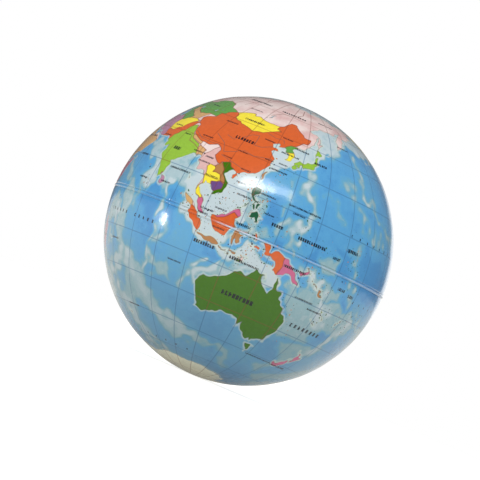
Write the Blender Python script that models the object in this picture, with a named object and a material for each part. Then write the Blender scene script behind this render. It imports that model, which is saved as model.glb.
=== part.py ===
"""A printed globe stress ball: a moulded foam core inside two glossy film half-shells, joined by a raised seam.

The ball's centre is the origin. +Z runs along the poles, towards the printed map's north, so the seam
lies round the equator in the XY plane. Every piece is a turned shape about Z, in metres.
"""

from math import cos, pi, sin

import bmesh
import bpy

# Driving sizes
BALL_RADIUS = 0.035
SKIN_THICKNESS = 0.0006
GLUE_LINE = 0.0003
SEAM_WIDTH = 0.0008
SEAM_PROUD = 0.0002
SEAM_GAP = 0.0003

# How finely the round shapes are faceted
STEPS_AROUND = 48
STEPS_POLE_TO_EQUATOR = 12
STEPS_OVER_SEAM = 6

# Colour, roughness and metallic value of each finish
PRINTED_FILM = ((0.13, 0.36, 0.66, 1.0), 0.12, 0.0)
SEAM_BEAD = ((0.16, 0.40, 0.68, 1.0), 0.15, 0.0)
RAW_FOAM = ((0.86, 0.80, 0.66, 1.0), 0.90, 0.0)

skin_inner_radius = BALL_RADIUS - SKIN_THICKNESS
core_radius = skin_inner_radius - GLUE_LINE
rim_height = SEAM_WIDTH / 2 + SEAM_GAP


def clear_scene():
    """Removes whatever the scene already holds."""
    for old in list(bpy.data.objects):
        bpy.data.objects.remove(old)


def material(name, colour, roughness, metallic):
    """A plain Principled finish."""
    made = bpy.data.materials.new(name)
    made.use_nodes = True
    shader = made.node_tree.nodes["Principled BSDF"]
    shader.inputs["Base Color"].default_value = colour
    shader.inputs["Roughness"].default_value = roughness
    shader.inputs["Metallic"].default_value = metallic
    made.diffuse_color = colour
    return made


def turned(name, profile, closed, finish, parent):
    """One solid turned about Z from a profile of (radius, height) points.

    An open profile has both its ends on the axis. A closed one is a ring's section.
    """
    shape = bmesh.new()
    points = [shape.verts.new((radius, 0.0, height)) for radius, height in profile]
    following = points[1:] + points[:1] if closed else points[1:]
    edges = [shape.edges.new(pair) for pair in zip(points, following)]
    bmesh.ops.spin(
        shape,
        geom=points + edges,
        cent=(0.0, 0.0, 0.0),
        axis=(0.0, 0.0, 1.0),
        angle=2 * pi,
        steps=STEPS_AROUND,
        use_merge=True,
    )
    bmesh.ops.remove_doubles(shape, verts=shape.verts, dist=1e-7)
    bmesh.ops.recalc_face_normals(shape, faces=shape.faces)
    mesh = bpy.data.meshes.new(name)
    shape.to_mesh(mesh)
    shape.free()
    mesh.shade_smooth()
    mesh.set_sharp_from_angle(angle=pi / 6)
    mesh.materials.append(finish)
    made = bpy.data.objects.new(name, mesh)
    made.parent = parent
    bpy.context.scene.collection.objects.link(made)
    return made


def quarter_arc(radius, lowest):
    """Points of a circle from the pole, on the axis, down to the height called lowest."""
    arc = []
    for step in range(STEPS_POLE_TO_EQUATOR):
        angle = pi / 2 * step / STEPS_POLE_TO_EQUATOR
        arc.append((radius * sin(angle), radius * cos(angle)))
    arc.append(((radius**2 - lowest**2) ** 0.5, lowest))
    return arc


def foam_core(parent):
    """The moulded foam ball that fills the skins and pushes back when it is squeezed."""
    upper = quarter_arc(core_radius, 0.0)
    lower = [(radius, -height) for radius, height in reversed(upper[:-1])]
    return turned("foam_core", upper + lower, False, material("raw_foam", *RAW_FOAM), parent)


def half_skin(name, side, finish, parent):
    """One printed film half-shell. side is 1 for the north half and -1 for the south half."""
    outside = quarter_arc(BALL_RADIUS, rim_height)
    inside = quarter_arc(skin_inner_radius, rim_height)
    profile = [(radius, side * height) for radius, height in outside + inside[::-1]]
    return turned(name, profile, False, finish, parent)


def equator_seam(parent):
    """The raised bead where the two half-shells meet: flat inside, crowned outside."""
    half_width = SEAM_WIDTH / 2
    section = [(skin_inner_radius, -half_width)]
    for step in range(STEPS_OVER_SEAM + 1):
        angle = pi * step / STEPS_OVER_SEAM
        section.append((BALL_RADIUS + SEAM_PROUD * sin(angle), -half_width * cos(angle)))
    section.append((skin_inner_radius, half_width))
    return turned("equator_seam", section, True, material("seam_bead", *SEAM_BEAD), parent)


def squeeze_axis(name):
    """An empty at the ball's centre that carries one half along the polar axis."""
    made = bpy.data.objects.new(name, None)
    bpy.context.scene.collection.objects.link(made)
    return made


def main():
    clear_scene()
    ball = squeeze_axis("ball_centre")
    film = material("printed_film", *PRINTED_FILM)
    foam_core(ball)
    equator_seam(ball)
    for half, side in (("north", 1), ("south", -1)):
        axis = squeeze_axis(half + "_half_axis")
        axis.parent = ball
        half_skin(half + "_skin", side, film, axis)


main()
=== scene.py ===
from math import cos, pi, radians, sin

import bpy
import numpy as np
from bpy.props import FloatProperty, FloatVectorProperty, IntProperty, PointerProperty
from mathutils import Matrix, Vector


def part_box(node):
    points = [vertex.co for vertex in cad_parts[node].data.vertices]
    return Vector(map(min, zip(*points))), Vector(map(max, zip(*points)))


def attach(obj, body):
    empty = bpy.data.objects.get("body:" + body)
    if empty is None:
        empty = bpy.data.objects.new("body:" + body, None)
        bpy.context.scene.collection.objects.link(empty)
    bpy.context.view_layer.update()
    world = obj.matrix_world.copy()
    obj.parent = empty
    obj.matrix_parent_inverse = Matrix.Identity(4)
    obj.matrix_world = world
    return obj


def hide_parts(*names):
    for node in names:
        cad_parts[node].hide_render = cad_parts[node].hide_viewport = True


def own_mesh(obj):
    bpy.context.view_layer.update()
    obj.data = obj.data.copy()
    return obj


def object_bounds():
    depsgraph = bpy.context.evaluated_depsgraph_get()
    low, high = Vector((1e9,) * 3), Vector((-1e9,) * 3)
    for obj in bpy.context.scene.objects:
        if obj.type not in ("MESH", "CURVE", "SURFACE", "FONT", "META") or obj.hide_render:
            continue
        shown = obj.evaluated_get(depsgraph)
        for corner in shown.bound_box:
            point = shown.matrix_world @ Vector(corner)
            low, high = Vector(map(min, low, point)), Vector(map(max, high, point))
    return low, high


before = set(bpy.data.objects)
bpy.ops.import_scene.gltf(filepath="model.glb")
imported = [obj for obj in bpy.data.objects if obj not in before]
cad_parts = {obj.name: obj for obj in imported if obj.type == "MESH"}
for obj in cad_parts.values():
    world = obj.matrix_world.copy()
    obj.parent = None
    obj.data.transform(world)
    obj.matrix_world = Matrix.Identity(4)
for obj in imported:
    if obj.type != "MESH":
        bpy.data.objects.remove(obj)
CAD_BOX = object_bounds()

# Finishes for a printed globe stress ball, laid out as an add-on and run as a script.
#
# Two film half-shells carry a world map: land in flat print colours, over a sea with its ridges and
# shelves. The map is drawn here from outlines in degrees of longitude and latitude. Each outline becomes
# a signed distance, in millimetres on the ball, kept at the surface's points, so that printed edges stay
# sharp between them.

bl_info = {
    "name": "Printed globe stress ball",
    "version": (1, 0, 0),
    "blender": (4, 5, 0),
    "location": "3D View > Sidebar > Stress ball",
    "description": "Makes the printed skins, seam bead, foam core and stage of a globe stress ball",
    "category": "Object",
}

# Sizes of the CAD, in metres
SKIN_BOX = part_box("north_skin")
SEAM_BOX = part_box("equator_seam")
BALL_RADIUS = SKIN_BOX[1][2]
CORE_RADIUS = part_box("foam_core")[1][2]
BEAD_TOP_RADIUS = SEAM_BOX[1][0]
BEAD_HALF_WIDTH = SEAM_BOX[1][2]
SKIN_THICKNESS = 0.0006

# Surfaces are worked out in millimetres
MM = 1000.0
BALL_MM = BALL_RADIUS * MM
MM_PER_DEGREE = BALL_MM * pi / 180

# The meridian of the printed map that faces -Y, in degrees east
FRONT_MERIDIAN = 125.75

# -----------------------------------------------------------------------------------------------------
# The printed map: outlines as runs of longitude,latitude pairs in degrees
# -----------------------------------------------------------------------------------------------------

EURASIA = """
32.5,30 34.2,27.9 35,29.3 36.5,26 38.5,23 39.2,21.2 41,19 42.5,16.5 43.3,12.8 45,12.8 48.5,14 52,15.6
55,17 57,18.9 58.6,20.5 59.8,22.5 58.5,23.7 56.9,24.6 56.4,26.3 55.2,25.3 54,24.2 51.8,24.1 51.3,26.1
50.6,25.3 50.1,26.6 48.8,28.3 48,29.6 48.8,30.3 50.2,30 51,28.8 52.8,27.4 54.7,26.6 56.3,27.1 57.2,25.8
59,25.4 61.6,25.1 64.5,25.3 66.6,25.2 67.2,24.5 68.2,23.6 70.3,22.9 69,22.2 70.4,20.9 72.2,21.2
72.6,22.2 72.8,20.5 72.9,18.9 73.5,16 74.2,14.5 75,12.5 76.3,9.9 77.5,8.1 78.2,8.9 79.2,9.3 79.9,10.5
80.1,12.5 80.1,15.2 81.2,16 82.3,16.9 83.8,18.2 85.2,19.6 86.8,20.7 87.1,21.5 88.5,21.7 90.5,22.2
91.8,22.4 92.3,20.8 93.8,19.4 94.4,17.8 94.3,16 95.3,15.8 96.4,16.6 97.4,16.4 97.8,14.8 98.6,12.8
98.6,10.5 98.2,8.5 99.3,6.8 100.3,5.9 100.5,4.2 101.4,2.9 103,1.6 103.8,1.2 104.3,1.6 103.5,3.2
103.4,4.8 102.2,6.2 101,6.9 100.4,7.4 100,9.2 99.3,9.4 99.3,10.8 99.9,12 100,13.3 100.9,13.4 101,12.6
102,12.5 102.8,11.6 103.6,10.6 104.8,10.4 104.8,8.7 106.5,9.6 107.2,10.4 109,11.4 109.3,13.2 108.8,15.3
107.2,16.9 105.8,18.8 106.7,20.5 108,21.5 109.6,21.5 110,20.4 110.6,21.2 113,22 114.3,22.5 116.6,23.1
118.5,24.6 119.7,26 120.7,28 121.9,29.3 121,30.5 121.9,31.5 120.8,32.9 119.4,34.8 120.3,36 122.5,36.9
122.2,37.5 120.8,37.8 119,37.3 118.2,38.6 117.8,39.1 119.3,39.5 121,40.8 122.1,40.6 121.4,39 123,39.7
124.3,39.9 125.2,38.8 124.9,38 126.5,37.5 126.4,36 126.5,34.4 127.8,34.7 129.1,35.2 129.5,36.6
128.4,38.5 127.5,39.4 128.7,40.2 129.8,41.5 130.8,42.4 132.2,43.1 133.8,43.1 135.5,44.6 138.3,47
140.4,49.5 140.6,51.5 141.4,53.2 139.5,54.2 137.5,54 135.3,54.8 138,57 142.5,59.3 148.5,59.5 151.5,59.1
154.5,59.6 156.8,61.5 160,61.8 163,62.3 161.5,60.5 157.5,57.8 155.6,56 156,53 156.8,51 158.6,53
160.2,54.6 162,56.2 163.3,58 164,59.9 166.5,60 170.5,60 174,61.8 179.5,62.4 177.5,64.7 181.5,65.4
186,64.4 190,66 185,67.2 180,68.9 175.5,69.8 170.5,69.9 161.5,69.4 157,71 150,71.4 140.5,72.6 133,71.6
129,71.5 127,73 123.5,73.2 114,73.6 110,74 113,75.8 104,77.7 98,76.3 87,75 80.5,73.6 82,71.5 78,72.3
74.5,72.9 74,71 72.5,68 71.5,66.5 70,67.5 71.5,69 72,72.8 68.5,72.5 67,70 68.5,68.3 64.5,69.3 60,68.7
54,68.7 46,68 44,66.2 40.5,64.7 37,64.2 34.8,64.5 33,66.7 38,66.2 41,67 36,69.1 31,69.9 25.7,71.1
20,69.9 15,68.2 12.5,65.8 10,63.9 5.3,62 5,60.3 5.8,58.7 8,58 10.5,59.2 11.3,58.8 12.5,56.2 12.9,55.5
14.3,55.5 16.2,56.6 17,58.6 18.9,59.9 17.2,61.5 19.5,63.4 22.2,65.6 25.3,65.1 22.5,63.3 21.4,61.3
22.8,59.9 27.5,60.5 30,59.9 27.8,59.5 23.7,59.2 24.3,57.8 22,57.6 21,56.5 21.1,55.3 19.8,54.5 17.5,54.8
14.2,53.9 11,54 10.9,56.3 10.5,57.7 8.2,56.8 8.6,54.3 7.1,53.6 4.8,53 3.4,51.4 1.7,50.9 0.2,49.6
-1.3,49.7 -1.6,48.7 -4.7,48.4 -2.2,47.3 -1.1,45.9 -1.4,43.6 -4.5,43.4 -8,43.7 -9.2,43.1 -8.8,41.3
-9.4,38.8 -8.9,37 -7.2,37.1 -6.3,36.6 -5.5,36 -2.2,36.7 -0.6,37.7 0.1,38.8 -0.3,39.6 1,41.1 3.2,42
3.1,43.1 5,43.4 7.5,43.8 8.8,44.4 10.2,43.7 11.8,42.1 14.2,40.8 15.8,39.9 16.2,38.2 17.1,39 16.6,39.8
18.4,39.9 16,41.6 14.2,42.5 12.6,44.1 12.4,45.3 13.7,45.6 14.8,44.7 16.5,43.4 18.8,42.1 19.4,40.8
20.8,39 21.5,37.7 21.8,36.8 23.1,36.5 23.7,37.9 22.9,39.2 23,40.4 26.2,40.8 28.9,41 26.4,40 26.8,38.4
27.6,36.9 30.6,36.8 32.6,36.1 34.6,36.8 36,36.3 35.8,34.6 34.9,32.5 34.2,31.3 32.5,31.2
"""
AFRICA = """
-5.9,35.8 -2,35.1 1,36.4 5,36.8 9.8,37.3 11,36.9 10.2,34.3 11.2,33.2 15.2,32.3 15.8,31.4 19,30.3
20.1,32.2 22.5,32.8 25,31.6 29,30.9 31,31.6 32.6,31.2 34,31.1 34,29.5 32.6,29.8 33.6,27.8 35.5,24
37.2,21 37.4,18.8 39.5,15.6 43.1,12.6 43.3,11.5 44.5,10.4 51.2,11.8 50.8,9.5 48,4.5 45,1.9 42,-1.2
40,-3.5 39.2,-5.5 39.5,-7.5 40.5,-10.5 40.7,-15 36.5,-18.8 34.8,-20 35.5,-23.5 32.9,-25.6 32.5,-28.5
30.5,-31 27,-33.5 22,-34.2 19.8,-34.8 18.3,-33.9 18.2,-31.8 16.5,-28.5 14.8,-25.5 14.4,-22.5 11.8,-18
13.7,-11.5 13.2,-8.8 12.2,-6 11,-3.8 9,-1 9.6,1 9.7,3.5 8.5,4.6 6,4.3 4.4,6.3 1,5.9 -2,4.8 -4.5,5.2
-7.5,4.4 -9.5,5.5 -12.5,7.5 -13.5,9.6 -15,10.9 -16.7,12.4 -17.5,14.7 -16.3,17 -16.1,19.5 -17,21 -16,23.8
-14.5,26.2 -12.9,27.9 -10,29.5 -9.7,31.5 -8.5,33.3 -6.3,34.8
"""
NORTH_AMERICA = """
-168,65.6 -162,66.5 -166.5,68.3 -163,69.6 -156.5,71.3 -150,70.5 -141,69.6 -135.5,69 -128,70.3
-124.5,69.9 -115,68.8 -108.5,68 -102,67.8 -96,67.8 -94.5,71.8 -91.5,69.6 -88,68.5 -81.5,69.6 -81.5,67.5
-86,66.3 -87,64.5 -93.5,61.8 -94.5,59 -92.5,57 -85,55.3 -82.3,53 -80,51.3 -79,54.8 -76.8,56.5 -78.3,59
-77.6,62.4 -72,61.6 -69.5,59 -65.5,59.5 -64.5,60.3 -61.5,57 -56.5,53 -57.5,51.3 -60,50.2 -66.5,50.2
-70,47.2 -65,49.2 -64.8,46.8 -61,45.5 -63.5,44.5 -66,43.6 -65,45.3 -67,44.7 -70.5,43.2 -70,41.8 -74,40.6
-75.5,38 -76,36.9 -75.6,35.2 -78.5,33.8 -81.3,31.3 -80.1,27 -80.4,25.3 -81.8,26.2 -82.7,28.5 -84.2,30
-88.5,30.3 -89.5,29.2 -94,29.6 -97.2,27.8 -97.6,24 -97.8,22.3 -96,19.1 -94.5,18.2 -91,18.6 -90.4,21
-87,21.5 -87.8,18.3 -88.7,15.9 -84,15.8 -83.3,14.8 -83.6,11 -81.5,8.9 -79.5,9.6 -76.5,8.3 -77,6.8
-78.5,8.2 -80.3,7.3 -83,8.3 -85.8,10.3 -87.6,12.9 -91.5,14 -94.5,16.2 -99.5,16.7 -105.5,20.2 -106.5,23.3
-109.5,25.8 -112.5,29.5 -114.6,31.6 -112.5,27.5 -111,25 -109.5,23.1 -112.1,24.8 -114.5,27.5 -115.8,30
-117.2,32.7 -120.5,34.5 -122.5,37.5 -124.3,40.3 -124.2,44 -124.5,48.3 -122.8,49 -127.5,51 -130,54.5
-133.5,57 -135.5,58.5 -139.5,59.7 -146,60.7 -151.5,59.3 -154.5,58 -158.5,56.2 -164.5,54.6 -161,56
-157.5,58.5 -162,58.8 -165.5,61.5 -164.5,63.1 -161,64 -166,64.5
"""
SOUTH_AMERICA = """
-77.6,8.8 -75.5,10.6 -71.7,12.3 -71.5,10.9 -68,11.2 -62,10.7 -60,8.5 -57,6 -51.5,4.3 -50,1 -48,-0.8
-44.3,-2.6 -39,-3.3 -35.3,-5.3 -34.9,-8 -37.2,-11 -39,-13.5 -39.2,-17.8 -41,-22 -44.5,-23.2 -48.5,-26
-48.8,-28.7 -52.3,-32.8 -54.9,-34.9 -58.4,-34 -57,-36.5 -62,-39 -65,-41 -63.8,-42.5 -65.5,-45
-67.5,-46.5 -65.9,-47.8 -69,-50.5 -68.4,-52.4 -65.2,-54.7 -68.5,-55.6 -72.5,-53.8 -75.5,-50.5
-75.5,-46.8 -73,-42.5 -73.6,-39.8 -73.5,-37.2 -71.5,-32.5 -71.4,-29 -70.2,-23 -70.3,-18.3 -76.2,-14
-79,-8.5 -81.2,-6.1 -81.2,-4.3 -79.9,-2.5 -80.9,-1 -80,0.8 -78.8,1.5 -77.2,4 -77.6,7
"""
AUSTRALIA = """
113.2,-21.2 112,-23.9 112.2,-26.3 113.2,-29.5 114.4,-31.9 113.9,-33.8 117.6,-34.8 120.2,-33.7
123.8,-33.6 126.2,-32 131.2,-31.7 134.2,-33 135.7,-35.4 137.9,-32.9 137.6,-35.4 139,-36.2 140.4,-38.3
143.2,-39.8 145,-38.6 146.4,-39.6 148,-38 149.9,-37.2 151.3,-33.6 152.7,-31.6 153.5,-28 152.9,-25.1
150.8,-23 148.8,-20.2 146.3,-18.9 145.4,-15 143.8,-14.3 142.7,-10.7 141.6,-13 141.3,-15.5 140.6,-17.3
139.2,-17.2 136,-15.2 135.5,-14.6 136.8,-12.1 135.2,-12 132.6,-11.4 130.8,-12.4 129.6,-14.8 127,-13.8
125.3,-14.2 123.4,-16.9 122,-17.8 119.3,-19.6 116.3,-20.3
"""
ISLANDS = """
142,54.3 143.2,52 143,49.3 144.3,49 142.8,47.3 142,46 141.9,49.5 141.8,52.5 ; 140.2,41.5 140.5,43.3
141.8,45.4 143.8,44.2 145.3,43.4 143.3,42 141.2,42.3 ; 140,39.8 140.5,41.2 141.5,41.3 142,39.5 141,38
140.8,35.7 139.8,34.9 138.3,34.6 136.8,34.4 135.8,33.5 135.1,34.4 132.5,34 131,34 131,34.7 133,35.6
135.8,35.6 136.8,37.2 138.6,37.4 ; 130.3,33.8 131.7,33.7 131.8,32.5 131,31.1 130.2,31.3 129.8,32.8 ;
132.3,33.9 134.6,34.3 134.2,33.3 132.8,32.8 ; 121.5,25.3 122,25 121.4,23 120.8,22 120.1,23.2 ;
108.8,19.3 110.5,20.1 111,19.5 109.6,18.2 ; 120.6,18.5 122.2,18.5 122.1,16.3 121.5,14.3 124,13
123.8,12.7 121,13.7 120,14.7 119.8,16.3 ; 124.3,12.5 125.3,12.4 125.4,10.8 124.5,10.2 124.3,11.3 ;
122,11.8 123.2,11.4 123.4,9.4 122.3,9.8 121.9,10.7 ; 122.2,8 123.5,8.7 125.5,9.8 126.4,8 126,6.2
125.3,5.7 124,6.8 122,7 ; 117.2,8.3 119.3,10.6 119.6,11.3 118,9.3 ; 109,1.8 109.8,2 111.3,2.7 113,3.2
115,5.2 116.8,7 119.2,5.3 117.8,3.5 118,2.2 119,1 117.5,0.2 116.5,-1.8 116,-4 114.5,-4 111.7,-3.5
110.1,-1.4 109.1,0.3 ; 119.8,0.6 120.9,1.3 124.2,0.5 125.1,1.6 124.3,0.2 120.6,0.4 121.3,-0.9 123.3,-0.8
122,-1.6 121.8,-2.9 122.9,-4.2 122.4,-5.2 121.5,-4.5 121,-2.8 120.4,-3 120.3,-5.5 119.5,-5.3 119.5,-3.4
118.8,-2.7 ; 95.3,5.6 97.5,5.2 100.4,2.6 103.3,0.5 104,-1 106,-3 105.9,-5.8 104.6,-5.8 102.2,-4 100.4,-1
98.7,1.7 96.2,3.8 ; 105.2,-6.7 106.2,-5.9 108.5,-6.6 110.9,-6.4 112.7,-6.9 114.4,-7.7 114.3,-8.6
110,-8.1 106.5,-7.4 ; 114.8,-8.2 116,-8.3 119,-8.3 118.8,-8.9 116.4,-9 115.2,-8.8 ; 119.8,-8.4
122.9,-8.2 122.8,-8.8 120,-8.9 ; 119.1,-9.5 120.7,-9.9 120.3,-10.3 ; 123.6,-10.3 125,-8.9 127.2,-8.4
126,-9.3 124.3,-10.3 ; 127.5,1.8 128,1.5 128.5,0.6 128,-0.7 127.5,0.5 ; 128,-3 130.7,-2.9 130.5,-3.8
128.1,-3.5 ; 126.1,-3.2 127.2,-3.3 126.8,-3.9 ; 130.9,-0.9 132.3,-0.4 134,-0.9 134.3,-2.6 135.2,-3.3
137.8,-1.5 141,-2.6 144.5,-3.8 145.8,-5.2 147.6,-6 147.8,-7.8 149.6,-9.6 150.8,-10.4 147.5,-10.1
146,-8.5 144.3,-7.6 143.2,-9.1 141,-9.1 139.3,-8.1 138.2,-8.4 138.9,-6.8 138,-5.4 135.4,-4.4 133,-4.1
132.7,-2.8 131.9,-2.7 131.2,-1.5 ; 148.4,-5.7 150,-5.6 152.1,-4.2 152.2,-5.3 150.3,-6.3 ; 151,-2.6
153,-4.5 152.8,-4.8 150.8,-2.9 ; 154.7,-5.5 156,-6.6 155.4,-6.8 ; 159.7,-8.4 161.3,-9.3 162.2,-10.5
160,-9.8 ; 156.7,-7 158.6,-8.2 157,-8 ; 166.5,-14.7 167.4,-15.5 167,-16.2 ; 168.2,-17.6 169.4,-19.4
168.8,-18.6 ; 164,-20.1 167,-22.2 166.2,-22.1 ; 177.3,-17.6 178.6,-17.9 178,-18.4 ; 179,-16.6 180,-16.2
179.6,-16.9 ; 172.7,-34.5 174.6,-36 176,-37.7 178.4,-37.8 177,-39.6 175.3,-41.7 173.8,-39.4 175,-38
174.2,-36.4 ; 172.7,-40.6 174.2,-41.5 172.8,-43.8 170.8,-45.8 168.6,-46.7 166.6,-46 168.5,-44 171,-42.4
; 144.7,-41.4 148.4,-41.5 148,-43.9 146.7,-44.6 145.3,-43.2 ; 79.9,9.7 81.3,8.5 81.8,7 80.6,6 79.8,7.3 ;
92.7,13.4 93,12 92.6,11.7 ; 49.3,-12 50.4,-15.6 49.4,-18 47.1,-25 45.2,-25.5 43.4,-22.5 44.4,-19.5
44.3,-16.3 46.3,-15.8 48,-13.6 ; 53.4,12.7 54.4,12.5 53.6,12.3 ; -5.6,50 0.5,50.8 1.7,52.7 -0.3,54
-2,56.5 -2,57.6 -4,57.7 -3.2,58.6 -5.8,58.2 -6,56.4 -4.8,54.8 -3,54 -4.5,53.2 -4.9,51.8 -3,51.4 ;
-10,51.7 -6.3,52.3 -6,54.2 -7.4,55.3 -10,54.1 ; -24,65.4 -21,66.1 -16,66.4 -13.7,65 -18.7,63.5 -22.5,64
; -73,78.2 -61,82 -40,83.4 -22,82.5 -18,79.5 -20,75.5 -22,72 -26,69 -33,67.5 -40,65 -43.5,60 -48.5,61
-52.5,65.5 -51,69.5 -55,71.5 -58,75 -68,76 ; -80.5,73.6 -76,72.8 -68.5,70.5 -62,67 -66,65 -66.5,62.3
-71.5,64 -77.8,64.6 -73.5,67.5 -79,69.8 -88.5,71 -89.5,73.4 ; -91,76.5 -80,76.3 -77,78.5 -64,81.8 -68,83
-85,82.3 -92,81 -88,79 ; -117,70.5 -114,73 -106,73 -105,69.3 -113,68.7 ; -124,72 -123,74.3 -116,73.5
-118,71.3 ; -117,76 -110,77.5 -105,76.5 -110,75 ; -98,74.5 -93,74.8 -90.5,75.2 -100,77 -102,75.5 ;
-97,79.5 -91,80.8 -95,78.3 ; -59,47.7 -56,51.4 -53,48.5 -54,46.8 ; -84.8,21.9 -82,23 -77,21.6 -74.3,20.2
-77.5,19.9 -78,20.8 ; -74.3,18.5 -72.8,19.8 -68.5,18.6 -71.5,17.9 ; -78.2,18.4 -76.3,18 -77.5,17.9 ;
-67.1,18.4 -65.7,18.3 -66.5,18 ; -156,20.1 -155,19.5 -155.8,19 ; -159.7,22.1 -159.3,22 -159.6,21.8 ;
-158.2,21.6 -157.7,21.4 -158,21.3 ; 8.4,40.9 9.6,41 9.5,39.2 8.5,39 ; 8.7,42.5 9.4,42.9 9.3,41.6 ;
12.6,38 15.5,38.2 15.1,36.8 ; 23.6,35.5 26.2,35.2 24.8,35 ; 32.4,35 34.4,35.5 33,34.6 ; 11,79.5 20,80.4
27,80.2 21,78.5 16,76.8 ; 52,71 55,73.5 62,76.3 68.5,76.9 60,74.5 56.5,72 57.5,70.7 ; 95,81 100,80.5
104,79 99.5,78.2 93,79.5 ; 138,75.9 144,76 150,75.2 143,73.5 ; 178.8,71.2 181.5,71.5 181,70.9 ;
-61,-51.6 -58,-51.5 -60,-52.3 ; 68.7,-48.8 70.3,-49.3 69,-49.8 ; -176.8,51.9 -174,52.3 -176,51.7 ;
-169,53.2 -166,54 -168.5,52.9 ; 147.5,45.2 149,45.9 147.6,44.9 ; 155.3,50.5 156.1,50.7 155.5,50.2 ;
-173,63.5 -169,63.3 -171.5,63.1 ; 115.1,-8.2 115.6,-8.5 115.1,-8.8 ; 144.7,13.6 145,13.5 144.7,13.2 ;
57.3,-20 57.8,-20.2 57.4,-20.6
"""
LAKES = """
28,42 28.6,43.8 30.2,46 33.5,46 32.6,45.3 33.8,44.4 36.5,45.3 38.5,46.8 37.8,44.6 41,43 41.5,41.6
38,41.1 35,42 31.5,41.3 ; 47.2,45.5 49.5,46.6 53,46.7 52.8,45 51,44.5 51.8,42.8 54,41.5 53.5,39
53.9,37.2 51,36.8 49,37.6 49.2,39.5 49.6,40.4 48,42 47.4,43.4 ; 58.5,46 60,46.5 61.5,46 60.5,44.5
59,44.5 ; 103.7,51.5 106.5,52.8 109,54 110.2,55.7 109.2,55.5 107.2,53.8 105,52.2 ; 73.8,46 76,46.7
79,46.6 76.5,46.2 74.5,45.3 ; 31.8,0.3 34.2,0.2 34,-2.3 32,-2.5 ; 29.2,-3.5 29.6,-5 31,-8.5 30.5,-8.6
29,-5.5 ; 34.2,-9.8 35,-12 34.7,-14 34.3,-12 ; -92,46.8 -88.5,48.6 -84.8,46.6 -87.5,46.5 ; -87.8,42
-87.6,44.5 -85.8,45.8 -86.3,43.5 -87,41.8 ; -84.6,45.8 -80.3,45.5 -82,43.2 -83.8,44 ; -83.2,41.8
-79,42.9 -81.5,41.6 ; -79.5,43.4 -76.3,44 -77,43.3 ; -98.8,53.5 -97,53.5 -96.8,50.6 ; -116,61.3
-109.5,62.5 -113.5,61 ; -124,66.3 -119,67 -120,65.2 ; 30,61.5 32.8,61.2 31,60 ; 34.5,62.3 36,61.6 35,61
"""

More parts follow.
